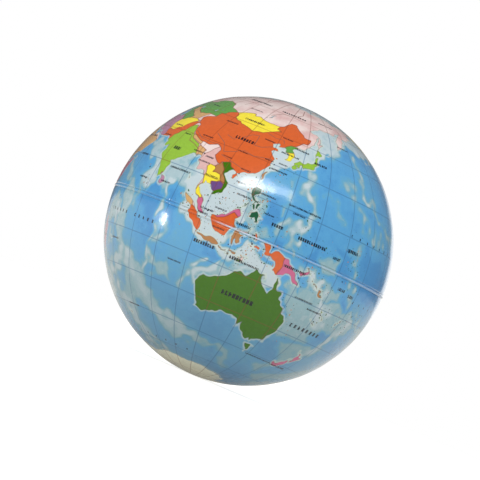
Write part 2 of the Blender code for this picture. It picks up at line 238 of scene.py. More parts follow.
# Country fills, each a print colour and the outlines that it fills. Later ones print over earlier ones,
# and all of them stop at the coast, so an outline may run out to sea.
COUNTRIES = (
    ("rose", """
92.3,21 93.5,24 95,26.5 97.5,28.6 99,27.3 98,24.2 99.2,23.2 100.2,21.9 101.4,21.8 100.4,20.2 98.3,19.6
97.7,18.5 98.8,16.2 98.5,15 99.8,11.7 98.9,10 97,9.5 93,15 91,20
"""),
    ("tan", """
46,37 70,37 75,43 70,45 55,46 46,44 ; 80,28.8 81,30.2 84,28.8 88.1,27.9 88.1,26.5 84,27.3 ; 34.5,29
39,32 47,29 52,24 56,24 60,22 57,16 43,11 38,19 ; 88.3,26.3 89.8,25.3 92.3,25.1 92.3,23 91.8,21 88.9,21
; -93,18 -88,19.5 -82,15.5 -82.5,8 -84,7 -93,13.5 ; 94,7 98,6.5 99.5,2.5 97,0.5 94,3
"""),
    ("green", """
46.5,48.3 50,51.6 55,51 60,51.8 61.5,54 69,55.3 76.5,54.3 80,50.9 87.3,49.1 85.5,48 82.5,45.4 80,44.9
80.2,42.2 74,43.2 70,42.2 67,41.2 61.5,43.5 58.5,45.5 56,45 55.9,41.3 52.4,42 49,44.5 ; 124.2,39.9
126.9,41.7 128.3,41.9 130.6,42.5 131,40 128.6,38.4 126,37.8 124,37.8 ; 52.4,42 58,42 61,41 66.5,38.5
64.5,36.3 61.2,35.3 57.5,38 52,37.4
"""),
    ("yellow", """
87.8,49.1 92,50.8 98,52 98.6,50.6 102,51.3 107,50 113,49.6 116.8,49.8 115.5,47.8 119.7,47 116.5,46.3
113.5,44.8 111.8,43.7 110,42.6 105,41.6 101,42.6 97,42.8 95.5,44.3 91,45.1 90.5,47 ; 97.4,18.5 98,19.8
100.1,20.4 101.2,19.5 101,17.6 102.7,18 104.8,17.4 105.5,14.5 102.4,13.6 102.9,11.7 101,12 100.2,12.5
99.8,9.5 101,7.2 102.1,6.2 101.1,5.7 100.1,6.5 98,7.5 98.6,10.2 99.5,11.7 98.2,15 98.5,16.2 ; 126,37.8
128.6,38.4 130,37 129.5,34.5 126,33.8 125.5,36 ; 60.5,29 59.5,33 60.5,35 64,36.5 66.6,37.4 71.5,37.9
74.5,37 73.5,36.5 71.5,34.5 70,33 69,31.3 66.5,30.8 65.5,29.3 ; -125.5,48.5 -95,49.3 -89,48 -83,46
-82.5,42 -79,43.3 -75,45 -71,45.3 -67,47.3 -66,44 -76,33 -79,24 -83,24 -96.8,25.8 -99.5,27.5 -101.5,29.7
-103,29 -106.5,31.8 -111,31.3 -117.3,32.5 -126,38 ; -170,52 -141,59.5 -141,71 -158,73 -171,66 ; -81,-3.5
-75.5,-0.2 -70.2,-2.8 -73,-7.5 -70.5,-11 -69,-12.5 -69.3,-17.5 -70.4,-18.4 -77,-15 -83,-6 ; -10,36
-9.5,44.5 -1.8,43.4 3.3,42.3 1,38 -5.5,35.5 ; 11,55 12,59 12.2,61.5 15,66 20.5,69 24,66 21,64 19,60
17,55 ; 12,-18 12,-6 16.5,-6 21.8,-7.3 24,-11 22,-13 22,-17.5
"""),
    ("orange", """
61,24 62,26.5 60.5,29 65.5,29.3 66.5,30.8 69,31.3 70,33 71.5,34.5 73.5,36.5 76,36 75,33.5 73.5,31
71.5,29 70,26.5 68.5,24 66,22.5 ; 129.5,42.7 131.5,44 132,45.6 135,46 137,49.3 132.5,49 130.5,50.5
127.5,52.5 125.5,55 121,54.5 119.5,52.5 118.5,50.3 116.8,49.8 115.5,47.8 119.7,47 116.5,46.3 113.5,44.8
111.8,43.7 110,42.6 105,41.6 101,42.6 97,42.8 95.5,44.3 91,45.1 90.5,47 87.8,49.1 85.5,48.2 83,47.2
82.3,45.4 80,44.9 80.2,42.2 76.8,41 73.7,39.6 74.8,37.3 76,35.9 78,35.3 79,32.5 81,30.2 84,28.8 88,27.9
92,27.8 95.5,29.2 97.5,28.3 98.7,27.3 97.7,24.2 98.9,23.2 100,21.7 101.7,21.2 102.5,22.6 105.3,23.3
106.7,22 108,21.5 108.5,20.7 108,17.5 112,17.5 113,21 119.7,24 123,27.5 124,32 123.5,37.5 121.8,38.3
124.2,39.9 126.9,41.7 128.3,41.9 129.9,42.9 ; 97,0.5 99.5,2.5 104,1 106.5,-2 107,-5.5 105,-7.5 100,-5 ;
108,1.6 109.3,2.3 111,1.7 113,2.4 115,4.2 116.6,5.6 118,4.6 121,3 128,3 132,1 141,-1 141,-9.5 137,-9
131,-5 124.9,-8.5 116,-5 108,-4 ; 8.5,47.5 6,49.5 6,52 7,54.5 11,54.8 14.5,54 15,51 12.5,50 13.5,48.5 ;
44.5,40 36,42 30,42.5 25,41 25.5,36 36,35.9 42.5,37.3 ; 25,22 25,32 34.5,31.5 37,22 ; -70,-22.8
-68,-21.5 -67.5,-23 -68.5,-28 -70,-33 -71.3,-38 -71.8,-46 -73,-50 -70,-52.4 -68.6,-53 -68.6,-56 -77,-53
-76,-40 -73,-20 ; 33,4 36,4.5 42,4 45,8 48,8 43,11 36,15 34,9 ; -3.5,19 3,19 3.5,15.5 0,15 -3,13.5
-5.5,10.5 -8,10.5 -12,13 -12,15 -5.5,15.5 -6.5,24.8 -4.8,25
"""),
    ("lime", """
66,22.5 68.5,24 70,26.5 71.5,29 73.5,31 75,33.5 77.5,34.5 79.5,31.5 81,28.5 84,27 87.5,26.3 88.6,24
89.3,20.5 84,16.5 81,13 80.5,9.8 79.3,9 77.5,6.5 74,8 71,16 67,21 ; 129,30 129,33.5 134,36.5 139,42
142,46.2 146.5,44 143,40 141,34 135,32.5 ; 166,-14 168,-14 170,-20 168,-20 ; -74,2 -69.8,1.7 -67,1.2
-64,4 -60,5 -56.5,2 -51.6,4.3 -45,1 -33,-5 -36,-15 -40,-24 -50,-33 -53.5,-33.7 -57.5,-30 -53.8,-26.5
-54.5,-24 -58,-20 -57.8,-17.5 -60,-14 -65.3,-11 -69.5,-11 -73.8,-7.3 -70,-4.3 ; -2,43.3 -5,49 2,51.5
6,49.8 8,48.5 6.8,46 7.5,43.5 3.2,42.4 ; 22,49 22,52.5 31,52 35.5,50 40,48.5 38,47 33,44 28.5,45.3 ;
11,-5.5 13,5 18.5,3.8 27,5 30,3 29.5,-4.5 30,-8.3 28,-12 24,-11 21.8,-7.3 16.5,-6 12.3,-6 ; 9,37.5
10,30.5 12,23.5 15,23 24,19.8 25,22 25,32 15,33.5
"""),
    ("mauve", """
44,39.6 48,39 49,37.6 54,37.4 57.5,38 60.5,35.5 59.5,33 60.5,29 62,26.5 61,24 57,25 51.5,27 48.5,30
47.7,31 45.5,33.5 45.8,35 44.5,37.2 ; 79,10.5 82.5,9 82.5,5.5 79.3,5.5 ; 176,-15.5 181.5,-15 181,-19
176,-19 ; -74,2 -70,1.7 -70,-4.3 -75.5,-0.2 -79.5,1.3 -79.5,8 -72,12.8 -72.5,8 -67.5,6 -67.5,3 ; -65,-22
-62.7,-22.2 -57.7,-25 -55.8,-27.5 -57.8,-30 -58.3,-34 -56,-36 -64,-55.5 -68.6,-55 -72,-50 -71.5,-38
-69.8,-33 -68.3,-25 ; 4,58 5,64 14,69 26,72 31,70.3 28,69.8 20.8,69 14.5,66 12,61.5 11.3,58.8 ; -9,27.6
-2,35.3 9,37.2 10,30.3 12,23.5 4,19 -8.7,27.3 ; 24,22 37,22 38.5,18 36,12 33,10 24,9 22.5,13 24,19.8 ;
43,-11 52,-14 48,-27 42,-24
"""),
    ("magenta", """
100.1,6.5 101.1,5.7 102.1,6.2 104.5,4 104.8,1.2 103.5,1 100,4 ; 109.3,2.3 111,1.7 113,2.4 115,4.2
116.6,5.6 118,4.6 120,5 117,8 112,4.5 108.5,3 ; 141,-1 148,-2 154,-3 157,-7 155,-12 150,-12 141,-10.2 ;
165,-33 180,-33 180,-49 164,-49 ; -6.5,49.5 2.3,50.8 2.2,56 -3,60 -8,58 -3,53.5 ; 43,-1.8 41,-0.5 41,4
45,8 48,8 43,11 51,14 54,10 ; -92,14.5 -91,17.5 -98,30 -117.3,32.5 -120,24 -100,14 ; 2.7,6 4,13.5 9,13
13.5,13.8 13,7 8.5,4 ; 33.9,-9.5 40.8,-10.5 43,-17 34,-28 31.9,-26 31.5,-22.3 33,-16.5 35.5,-14.5
34.6,-11
"""),
    ("purple", """
102.4,13.6 105.5,14.5 107.5,14.4 107.5,12.3 106,11.5 104.4,10.4 102.9,10.5 ; 163,-19.5 165,-19 169,-21
168,-23.5 164,-22 ; -62.7,-22.2 -62.3,-20.3 -58.1,-19.8 -57.9,-22 -54.3,-24 -54.6,-25.6 -57.7,-25.2 ;
-58.4,-30.2 -53.3,-32.5 -52,-35 -58.5,-34.8 ; 18,-28 20,-18 25,-17.8 27.7,-23 25.5,-25.8 20.8,-26.8 ;
14,24 15.8,23.3 15.5,16 13.5,14 15,7.5 22.5,11 22.3,13 24,15.5 24,19.8 ; 20,42 28.5,44 28,45.5 22.5,48
17,48 13.5,46
"""),
    ("brown", """
100.1,20.4 101.7,21.2 102.2,22.4 104,20.7 105,19 107.5,15.5 107.5,14.4 105.5,14.5 104.8,17.4 102.7,18
101,17.6 101.2,19.5 ; 119.3,21.3 123,21.3 123,26 120.6,25.6 ; 104.5,-5.9 108,-5 115,-5.5 125,-7.8
124,-9.2 115,-10 104,-7.8 ; 118,2.5 125.5,2.5 124.5,-6 118.5,-6 ; 154.5,-4.5 163,-4.5 165,-12.5 158,-12
; -69.5,-11 -65.3,-9.8 -60,-14 -57.8,-17.5 -58.2,-19.8 -62.3,-20.3 -64,-22.5 -67.8,-22.8 -69.3,-17.5 ;
14,49 14.3,54.5 19,54.8 24,54 23.6,50.5 22.5,49 ; 16.3,-28.5 20,-24.8 20.8,-26.8 25.5,-25.8 29.5,-22.2
31.5,-22.3 33,-27 30,-33 18,-36 15,-30 ; 29.5,-1 34,-1 39.5,-4.8 41,-10.5 34,-9.5 30.8,-8.5 29.3,-4.5
"""),
    ("forest", """
116,21 123,21 128,8 127,5 122,5 116.5,7.5
"""),
    ("deep_green", """
102.2,22.4 105.3,23.3 106.7,22 108.5,21.5 108,19.5 110,15 110,11 105.5,8 104.4,10.4 106,11.5 107.5,12.3
107.5,15.5 105,19 104,20.7 ; 110,-9.5 145,-10 156,-24 150,-45 140,-46 110,-38 ; -72.3,12.5 -60,12
-59.8,8 -61,5 -64,4 -67.5,1.5 -67.5,6 -72.5,8 ; 20.5,69 29,70 31.5,63 28,60 21,59.5 20.8,64 24.5,66 ;
6.8,46 13.7,46.6 13.5,44 19,40.3 15.5,36.5 10,42 7.4,43.7 ; 22,-17.5 22,-13 24,-11 28.5,-12 29,-9.2
33,-9.3 33,-14 30.3,-15.8 32.8,-16.8 31.5,-22.3 29.5,-22.2 25.3,-17.8 ; 3.5,15.5 4.2,19.1 12,23.5
15.8,23.3 15.5,16 13.6,13.8 9,13 4,13.6
"""),
)

# The Antarctic coast as pairs of longitude and latitude; the ice fills everything south of it
ICE_COAST = """
-180,-78 -158,-77.5 -145,-75.5 -120,-73.8 -100,-72.8 -80,-73 -68,-67.5 -60,-64 -57,-64.5 -61,-70 -60,-75
-45,-78 -35,-77.5 -25,-74 -12,-71.5 10,-70 30,-69 45,-67.5 55,-66 68,-68 73,-70 80,-67.5 100,-65.5
115,-66.5 135,-66 150,-68.5 162,-70.5 168,-73 167,-77.5 180,-78
"""

# Rivers, drawn as fine ink lines
RIVERS = """
96,35 100,34 103.5,36.5 106.5,39.5 110,40.4 110.5,35 114,35.3 118.5,37.6 ; 91,34 97.5,31 100,27 104,28.6
108,30.8 113,30 117,31 121,31.7 ; 100,25.5 104,24.5 109,23.6 113,22.6 ; 113,43.5 118,42.5 122,43.3
123,41.5 ; 79,30 81,26.5 85,25.6 89,24 ; 80,32 86,29.3 92,29 95.5,29.3 ; 32.8,30 31,26 33,21 32,15
31.5,8 32,2 ; -73,-4.5 -67,-2.8 -60,-3.2 -52,-1 ; -95,46.5 -91,42 -90,35 -91,30.5 ; 68,55 69,60 66,66 ;
82,56 84,60 88,66 83,70 ; 106,55 113,60 121,61 127,66 127,71
"""

# Sea-bed ridges: half width in mm and brightness of the band, then its run
RIDGES = (
    (0.55, 0.75, "86,8 87,-2 87,-12 86,-20 85,-26"),
    (2.6, 0.80, "70,-25 62,-30 55,-35 48,-42 40,-46 25,-51 5,-54"),
    (2.4, 0.80, "65,-42 69,-48 73,-54 78,-60 88,-64"),
    (1.5, 0.60, "78,-30 84,-36 92,-42 102,-46 116,-49"),
    (1.0, 0.60, "90,-8 89,-16 88,-24"),
    (0.9, 0.60, "111,-15 108,-21 106,-28"),
    (1.0, 0.75, "186,-15 185,-20 183,-26 181,-32 178,-37"),
    (1.2, 0.75, "150,-4 157,-6 163,-10 167,-15 170,-21"),
    (1.0, 0.55, "172,13 170,8 173,2 176,-5 179,-9"),
    (1.1, 0.80, "140,35 141,30 142,25 144,21 146,17 145,13 141,10"),
    (0.8, 0.60, "138,11 135,8 132,4"),
    (0.8, 0.60, "142,8 142,4 143,0"),
    (0.7, 0.45, "134,27 135,20 134,14"),
    (0.8, 0.50, "168,51 170,44 171,38 174,33 182,29 190,25 200,21"),
    (1.6, 0.40, "160,35 166,31 172,22 178,19 188,18"),
    (0.9, 0.55, "145,44 152,47 157,51 162,55"),
    (0.8, 0.35, "150,28 156,24 160,19"),
    (0.7, 0.40, "185,-9 191,-12 197,-16 208,-18 220,-22"),
    (2.6, 0.70, "250,22 256,10 258,-5 250,-20 246,-35 240,-50 215,-58 190,-62"),
    (1.2, 0.55, "258,-26 268,-25 278,-24"),
    (2.0, 0.80, "-18,70 -28,60 -34,52 -29,44 -36,35 -45,25 -45,14 -32,3 -14,-2 -13,-18 -14,-34 -8,-46 0,-54"),
    (1.4, 0.55, "-38,-30 -32,-32 -26,-30"),
    (1.2, 0.55, "8,-20 2,-27 -6,-34"),
    (2.0, 0.60, "-60,-55 -48,-55 -36,-55 -27,-59"),
    (1.4, 0.60, "60,-8 59,-14 56,-20"),
    (1.3, 0.55, "50,-27 46,-33 44,-38"),
    (1.4, 0.55, "73,10 73,2 72,-6"),
)

# Sea-bed regions: brightness, softness of the edge in mm, then their outlines
SHOALS = (
    (0.62, 0.55, """
69,-20 72,-26 69,-40 70,-48 79,-42 87,-43 92,-46 98,-52 101,-55 113,-52 122,-50 131,-50 137,-57 145,-64
148,-60 144,-54 136,-48 131,-47 116,-46 105,-43 98,-41 93,-35 86,-33 86,-27 76,-24 ; 73,-40 72,-46
68,-53 74,-60 91,-62 84,-58 76,-53 78,-46 79,-42 ; 52,12 58,10 62,4 68,0 70,-4 67,-11 70,-20 63,-21
62,-10 63,-4 62,2 53,8 ; 86,-25 96,-22 100,-28 95,-27 87,-26 ; 50,-5 55,-2 59,-8 60,-13 51,-16
"""),
    (0.70, 0.50, """
56,24 64,25 69,22 75,14 77,8 76,2 73,4 71,12 62,19 ; 77,14 82,18 89,22 96,16 98,6 94,6 88,8 84,5 80,7
79,11
"""),
    (0.93, 0.40, """
96,16 92,10 96,7 94,4 99,-3 103,-7 108,-9 114,-10 119,-12 117,-18 112,-22 113,-26 111,-26 110,-20
115,-16 121,-12 126,-9 131,-10 141,-17 144,-11 137,-6 130,-4 126,-2 121,-8 116,-7 118,-1 118,2 120,5
118,9 121,16 120,22 123,27 127,29 130,33 128,36 122,42 113,36 100,15
"""),
    (0.80, 0.30, """
122,23 126,29 130,31 134,33 141,36 143,41 146,43 150,46 153,48 157,52 160,55 164,58 170,56 176,54 183,53
190,53 197,54 205,57 200,62 190,67 172,63 150,62 135,58 132,45 126,40 120,30
"""),
    (0.55, 0.45, """
119,22 124,20 127,10 129,2 131,1 126,-2 118,8 ; 137,7 139,11 145,12 147,16 148,13 146,10 141,9 139,6
"""),
    (0.58, 0.50, """
145,-12 152,-25 154,-32 159,-32 169,-30 172,-23 168,-17 160,-11 155,-7 151,-12 147,-9 ; 154,2 161,6
165,4 165,-2 160,-3 156,-1 ; 162,-8 168,-4 173,-5 170,-10 165,-11 ; 165,-12 171,-10 177,-13 184,-11
192,-15 191,-20 177,-24 171,-21 ; 159,-35 172,-30 184,-30 181,-36 173,-43 164,-55 158,-51 166,-45
164,-39 ; 166,-56 185,-48 196,-42 207,-44 198,-52 175,-60
"""),
    (-0.22, 0.50, """
146,2 152,5 154,1 150,-1 ; 172,-10 180,-7 184,-11 176,-13 ; 172,-25 180,-21 184,-25 178,-28 ; 133,3
141,4 140,1 136,0 ; 124,16 133,16 135,10 131,2 127,9 ; 161,8 172,13 189,10 199,0 190,-6 175,-2 167,-1 ;
72,5 86,6 93,0 97,-9 90,-16 84,-14 78,-6 73,-2 ; 119,3 124,5 124,1 120,1.5 ; 150,-36 156,-35 162,-40
163,-46 153,-46
"""),
)

# Places sprinkled with islets too small to outline: longitude, latitude, half width, half height, share
ISLET_AREAS = (
    (123, 11, 5, 9, 1.0), (117, 7, 9, 8, 0.7), (127, -3, 8, 6, 1.0), (122, -8.5, 9, 2, 0.9),
    (110, 3, 4, 4, 0.5), (107, -2, 3, 3, 0.7), (134, -7, 4, 3, 0.7), (152, -5, 5, 4, 0.6),
    (161, -9, 5, 3, 0.7), (168, -17, 3, 4, 0.6), (181, -18, 6, 3, 0.6), (187, -15, 6, 4, 0.5),
    (145, 14, 2, 6, 0.4), (150, 7, 9, 2, 0.4), (170, 8, 4, 6, 0.5), (176, -1, 3, 5, 0.3),
    (128, 27, 4, 4, 0.6), (113, 20, 5, 4, 0.4), (152, -20, 4, 6, 0.5), (158, -30, 3, 3, 0.3),
    (97, 3, 3, 5, 0.5), (210, -17, 12, 5, 0.5), (220, -18, 8, 5, 0.4), (-72, 23, 7, 4, 0.6),
    (-61, 14, 3, 5, 0.6), (25, 37, 4, 3, 0.8), (73, 4, 2, 6, 0.4), (56, -8, 6, 5, 0.3),
    (-75, -48, 2, 7, 0.8), (-90, 74, 20, 4, 0.5),
)

# Shoals and deeps as soft patches: longitude, latitude, half width and half height in degrees, then
# brightness, which is less than zero for a deep
PATCHES = (
    (122, -16.5, 5, 3, 0.8), (128, -12, 5, 2.4, 0.8), (133, -10.3, 5, 2, 0.8), (117.5, -20, 3, 2, 0.6),
    (139, -14.5, 3, 3, 0.8), (112, 14, 5, 4, -0.2), (134, 40, 4, 3, 0.2), (116, 20, 4, 3, 0.3),
    (124, 36, 4, 3, 0.4), (138, -10, 4, 3, 0.3), (0, 57, 9, 7, 0.8), (-60, -45, 8, 10, 0.8),
    (-50, 46, 6, 5, 0.7), (-90, 25, 9, 6, 0.3), (-75, 24, 7, 5, 0.6), (-85, 60, 12, 8, 0.9),
    (60, 73, 25, 7, 0.9), (140, 76, 35, 6, 0.9), (-100, 74, 30, 9, 0.8), (18, 38, 20, 5, 0.35),
    (205, -20, 14, 9, 0.25), (225, -15, 10, 8, 0.3), (-150, 57, 12, 4, 0.5), (48, 28, 4, 3, 0.6),
)

# Marks that stand for small print: middle in degrees, then length and height in millimetres
LABELS = (
    (78, 21.5, 2.4, 0.7), (90, 23.3, 3.6, 0.32), (95, 20, 3.2, 0.32), (87, 13.5, 6.4, 0.38),
    (70, 6, 3.2, 0.34), (83.5, 7, 3.0, 0.34), (65, 26, 3.0, 0.3), (65, 32, 3.4, 0.34),
    (67, 49, 3.2, 0.4), (101.5, 15.5, 3.4, 0.36), (102, 47, 5.4, 0.5), (86, 63, 6.6, 0.7),
    (105, 35.7, 5.2, 0.72), (133, 41.5, 3.6, 0.4), (128, 37, 4.4, 0.36), (144, 38.5, 3.4, 0.5),
    (126, 28, 4.0, 0.34), (126.5, 31.5, 2.2, 0.3), (125.5, 16.7, 4.2, 0.36), (106, 3, 3.6, 0.34),
    (105, 1.2, 2.6, 0.32), (111, 5, 3.0, 0.3), (110, -9.5, 5.6, 0.62), (123.5, -10.3, 3.2, 0.6),
    (129.5, -10.6, 4.6, 0.4), (121.5, 2.5, 3.4, 0.45), (142, 17, 8.6, 0.36), (140, 14.5, 3.2, 0.34),
    (133.5, 7.3, 3.0, 0.6), (149, 6.5, 7.6, 0.62), (161.5, 5, 2.2, 0.5), (168.5, 10, 3.6, 0.62),
    (146.5, -5.2, 5.8, 0.5), (170, -5, 2.4, 0.55), (176.5, -6, 2.2, 0.6), (130.5, -24, 8.0, 0.92),
    (157.5, -46, 7.6, 0.32), (156, -14.6, 5.2, 0.3), (163, -17, 4.4, 0.34), (172.5, -46.3, 5.2, 0.5),
    (117, 13, 3.2, 0.32), (114, 17.5, 2.6, 0.3), (129, 10, 2.6, 0.3), (113, -2, 3.0, 0.3),
    (60.5, 15, 3.6, 0.4), (54, 24, 3.0, 0.34), (160, 53, 3.4, 0.36), (120, 62, 6.0, 0.6),
    (150, 65, 4.0, 0.36), (95, 55, 3.4, 0.32), (20, 46, 4.5, 0.4), (10, 51, 3.2, 0.36),
    (-4, 40, 3.2, 0.5), (38, 56, 5.0, 0.5), (5, 28, 4.2, 0.5), (17, 26, 3.0, 0.45), (30, 27, 3.0, 0.45),
    (30, 15, 3.4, 0.5), (39, 8, 3.6, 0.45), (23, -2, 4.6, 0.5), (18, -12, 3.4, 0.45),
    (24, -30, 5.0, 0.5), (8, 9, 3.2, 0.4), (18, 15, 2.6, 0.4), (-3, 17, 2.6, 0.4), (35, -6, 3.2, 0.4),
    (46, 24, 4.4, 0.5), (47, -20, 3.8, 0.34), (-105, 58, 8.0, 1.0), (-98, 40, 11.0, 1.1),
    (-152, 65, 4.0, 0.6), (-103, 24, 4.0, 0.6), (-42, 73, 5.2, 0.7), (-53, -10, 7.0, 1.1),
    (-65, -35, 5.6, 0.5), (-75, -10, 2.6, 0.5), (-73, 4, 3.6, 0.45), (-66, 7.5, 3.8, 0.4),
    (-64, -17, 3.0, 0.4), (-72, -30, 3.4, 0.3), (-40, 30, 6.0, 0.4), (-30, 15, 5.0, 0.36),
    (-20, -25, 5.0, 0.36), (-130, 10, 5.4, 0.36), (-110, -20, 5.0, 0.36), (-140, 30, 6.4, 0.4),
    (40, -80, 9.0, 0.7), (-140, -60, 6.0, 0.4), (88, 31, 3.2, 0.3), (116, 40, 2.6, 0.32),
    (113, 23, 2.4, 0.3), (96, 22.5, 2.2, 0.34), (92, 42, 3.4, 0.34), (120, 31, 2.2, 0.3),
    (108, 30, 2.6, 0.3), (77, 29, 2.2, 0.3), (103, 25.5, 2.4, 0.3), (124, 44.5, 2.6, 0.3),
    (75, -45, 4.0, 0.34), (62, -20, 3.8, 0.34), (100, -20, 3.6, 0.3), (-83, 22.5, 2.6, 0.3),
    (-20, 64.5, 2.4, 0.4),
)

# Names set wide across the oceans: first letter's place in degrees, degrees between letters, how many
# letters, and their height in mm
SPACED_LABELS = (
    (54, -9, 2.8, 6, 0.75), (74.5, -9, 2.7, 5, 0.8), (166, 15.8, 5, 7, 0.62),
    (157.5, -25.5, 2.3, 8, 1.0), (180, -7.5, 5, 5, 0.62), (-152, 3, 5, 7, 0.8), (-120, -6, 5, 5, 0.8),
    (-60, 26, 4.5, 8, 0.8), (-30, -12, 4.5, 5, 0.8), (-150, -35, 5, 6, 0.7), (70, -58, 9, 6, 0.6),
    (20, 84, 60, 6, 0.7),
)


# -----------------------------------------------------------------------------------------------------
# Noise and distances, worked out for whole arrays of places at once
# -----------------------------------------------------------------------------------------------------

# How many degrees beyond an outline its distance is still worked out
CONTINENT_REACH = 14
ISLAND_REACH = 6
LAKE_REACH = 4
COLOUR_REACH = 4
SHOAL_REACH = 5

# Distances in mm at which the coast's and the print colours' fields stop growing
FAR_MM = 9.0
COLOUR_FAR_MM = 2.0

# Noise as strengths and wavelengths in mm. The first two shift outlines, in degrees
COAST_NOISE = ((0.34, 4.4), (0.22, 1.8))
SEA_BED_NOISE = ((0.9, 6), (0.5, 2.6))
RIDGE_NOISE = ((0.3, 2.6),)
OPEN_SEA_NOISE = ((0.05, 14),)

# The open sea's depth on a scale from 0 to 1, and the most of it that one ridge or patch may take away
OPEN_SEA_DEPTH = 0.78
MOST_SHALLOWED = 0.97

# A ridge's bell is this much wider than the width in the table
RIDGE_SPREAD = 1.15

# Labels' height over the height in the table, and the height of a river line in mm
PRINT_HEIGHT = 1.3
RIVER_HEIGHT = 0.2

# Half the length of a letter set wide apart, in its heights, and how much longer each next one is
LONE_LETTER = 0.36
LONE_LETTER_CHANGE = 0.004


def outlines(text):
    """The outlines in a text, each an array of longitude and latitude rows, in degrees."""
    return [np.array([pair.split(",") for pair in run.split()], float) for run in text.split(";")]


def linear(colour):
    """A six-digit hexadecimal sRGB colour as linear red, green and blue."""
    parts = np.array([int(colour[i : i + 2], 16) for i in (0, 2, 4)]) / 255
    return tuple(np.where(parts > 0.04045, ((parts + 0.055) / 1.055) ** 2.4, parts / 12.92))


def ripple(places, wavelength, seed, waves=24):
    """Smooth noise of about unit size at points in mm: a sum of sine waves in random directions."""
    chance = np.random.default_rng(seed)
    ways = chance.normal(size=(waves, 3))
    ways /= np.linalg.norm(ways, axis=1, keepdims=True)
    turns = chance.uniform(0, 2 * pi, waves)
    return np.sin(places @ ways.T * (2 * pi / wavelength) + turns).sum(axis=1) * np.sqrt(2 / waves)


def ripples(places, noise, seed):
    """Ripples of the listed strengths and wavelengths, added up, from seeds that follow on."""
    return sum(size * ripple(places, length, seed + k) for k, (size, length) in enumerate(noise))


def map_place(places):
    """Longitude and latitude, in degrees, of points in mm. Longitude turns about Z from -Y towards +X."""
    radius = np.linalg.norm(places, axis=1)
    latitude = np.degrees(np.arcsin(np.clip(places[:, 2] / radius, -1, 1)))
    longitude = np.degrees(np.arctan2(places[:, 0], -places[:, 1])) + FRONT_MERIDIAN
    return longitude, latitude


def wrapped(degrees):
    """An angle brought within half a turn of zero."""
    return (degrees + 180) % 360 - 180


def strayed(places, longitude, latitude):
    """The same map places shifted a little by noise, so that straight outlines come out like coasts."""
    east, north = ripples(places, COAST_NOISE, 11), ripples(places, COAST_NOISE, 13)
    return longitude + east / np.maximum(np.cos(np.radians(latitude)), 0.2), latitude + north


def run_distance(longitude, latitude, run, closed, reach):
    """Distance in mm from each map place to a run of straight lines, and whether the place is inside it.

    Each line's nearest point comes from the projection onto it, held between its ends, on a plan where a
    degree of longitude shrinks with the cosine of latitude. Inside is by counting crossings. Places more
    than reach degrees outside the run's own box keep the distance FAR_MM.
    """
    west, south = run.min(axis=0)
    east, north = run.max(axis=0)
    middle, half = (west + east) / 2, (east - west) / 2
    away = wrapped(longitude - middle)
    shrink = np.maximum(np.cos(np.radians(latitude)), 0.05)
    near = np.abs(away) - half < reach / shrink
    near &= (latitude > south - reach) & (latitude < north + reach)
    distance = np.full(len(longitude), FAR_MM)
    inside = np.zeros(len(longitude), bool)
    if not near.any():
        return distance, inside
    x, y, squeeze = away[near], latitude[near], shrink[near]
    best = np.full(len(x), np.inf)
    within = np.zeros(len(x), bool)
    starts = run if closed else run[:-1]
    ends = np.roll(run, -1, axis=0) if closed else run[1:]
    for (x0, y0), (x1, y1) in zip(starts - (middle, 0), ends - (middle, 0)):
        along_x, along_y = (x1 - x0) * squeeze, y1 - y0
        from_x, from_y = (x - x0) * squeeze, y - y0
        share = (from_x * along_x + from_y * along_y) / np.maximum(along_x**2 + along_y**2, 1e-9)
        share = np.clip(share, 0, 1)
        gap = (from_x - share * along_x) ** 2 + (from_y - share * along_y) ** 2
        best = np.minimum(best, gap)
        if y0 != y1:
            within ^= ((y > y0) != (y > y1)) & (x < x0 + (y - y0) / (y1 - y0) * (x1 - x0))
    distance[near] = np.minimum(np.sqrt(best) * MM_PER_DEGREE, FAR_MM)
    inside[near] = within
    return distance, inside


def signed(longitude, latitude, outline, reach):
    """Signed distance in mm to an outline, more than zero inside it."""
    distance, inside = run_distance(longitude, latitude, outline, True, reach)
    return np.where(inside, distance, -distance)


def ice_field(longitude, latitude):
    """Signed distance in mm to the edge of the southern ice, more than zero on it."""
    rim = outlines(ICE_COAST)[0]
    return (np.interp(wrapped(longitude), rim[:, 0], rim[:, 1]) - latitude) * MM_PER_DEGREE


def coast_field(longitude, latitude):
    """Signed distance in mm to the nearest coast, more than zero on land."""
    coast = np.full(len(longitude), -FAR_MM)
    for text in (EURASIA, AFRICA, NORTH_AMERICA, SOUTH_AMERICA, AUSTRALIA):
        land = signed(longitude, latitude, outlines(text)[0], CONTINENT_REACH)
        coast = np.maximum(coast, land)
    for outline in outlines(ISLANDS):
        coast = np.maximum(coast, signed(longitude, latitude, outline, ISLAND_REACH))
    for outline in outlines(LAKES):
        coast = np.minimum(coast, -signed(longitude, latitude, outline, LAKE_REACH))
    return np.maximum(coast, ice_field(longitude, latitude))


def country_fields(longitude, latitude):
    """Signed distance in mm to the edge of each print colour. A later colour cuts back earlier ones."""
    fields = {name: np.full(len(longitude), -COLOUR_FAR_MM) for name, _ in COUNTRIES}
    for name, text in COUNTRIES:
        for outline in outlines(text):
            distance = signed(longitude, latitude, outline, COLOUR_REACH)
            distance = np.clip(distance, -COLOUR_FAR_MM, COLOUR_FAR_MM)
            for other, field in fields.items():
                if other == name:
                    fields[other] = np.maximum(field, distance)
                else:
                    fields[other] = np.minimum(field, -distance)
    fields["ice"] = np.clip(ice_field(longitude, latitude), -COLOUR_FAR_MM, COLOUR_FAR_MM)
    return fields


def patch_bell(longitude, latitude, east, north, half_width, half_height):
    """A bell-shaped share, 1 in the middle of a patch and falling away over its half sizes in degrees."""
    across = wrapped(longitude - east) * np.cos(np.radians(north)) / half_width
    return np.exp(-(across**2 + ((latitude - north) / half_height) ** 2))


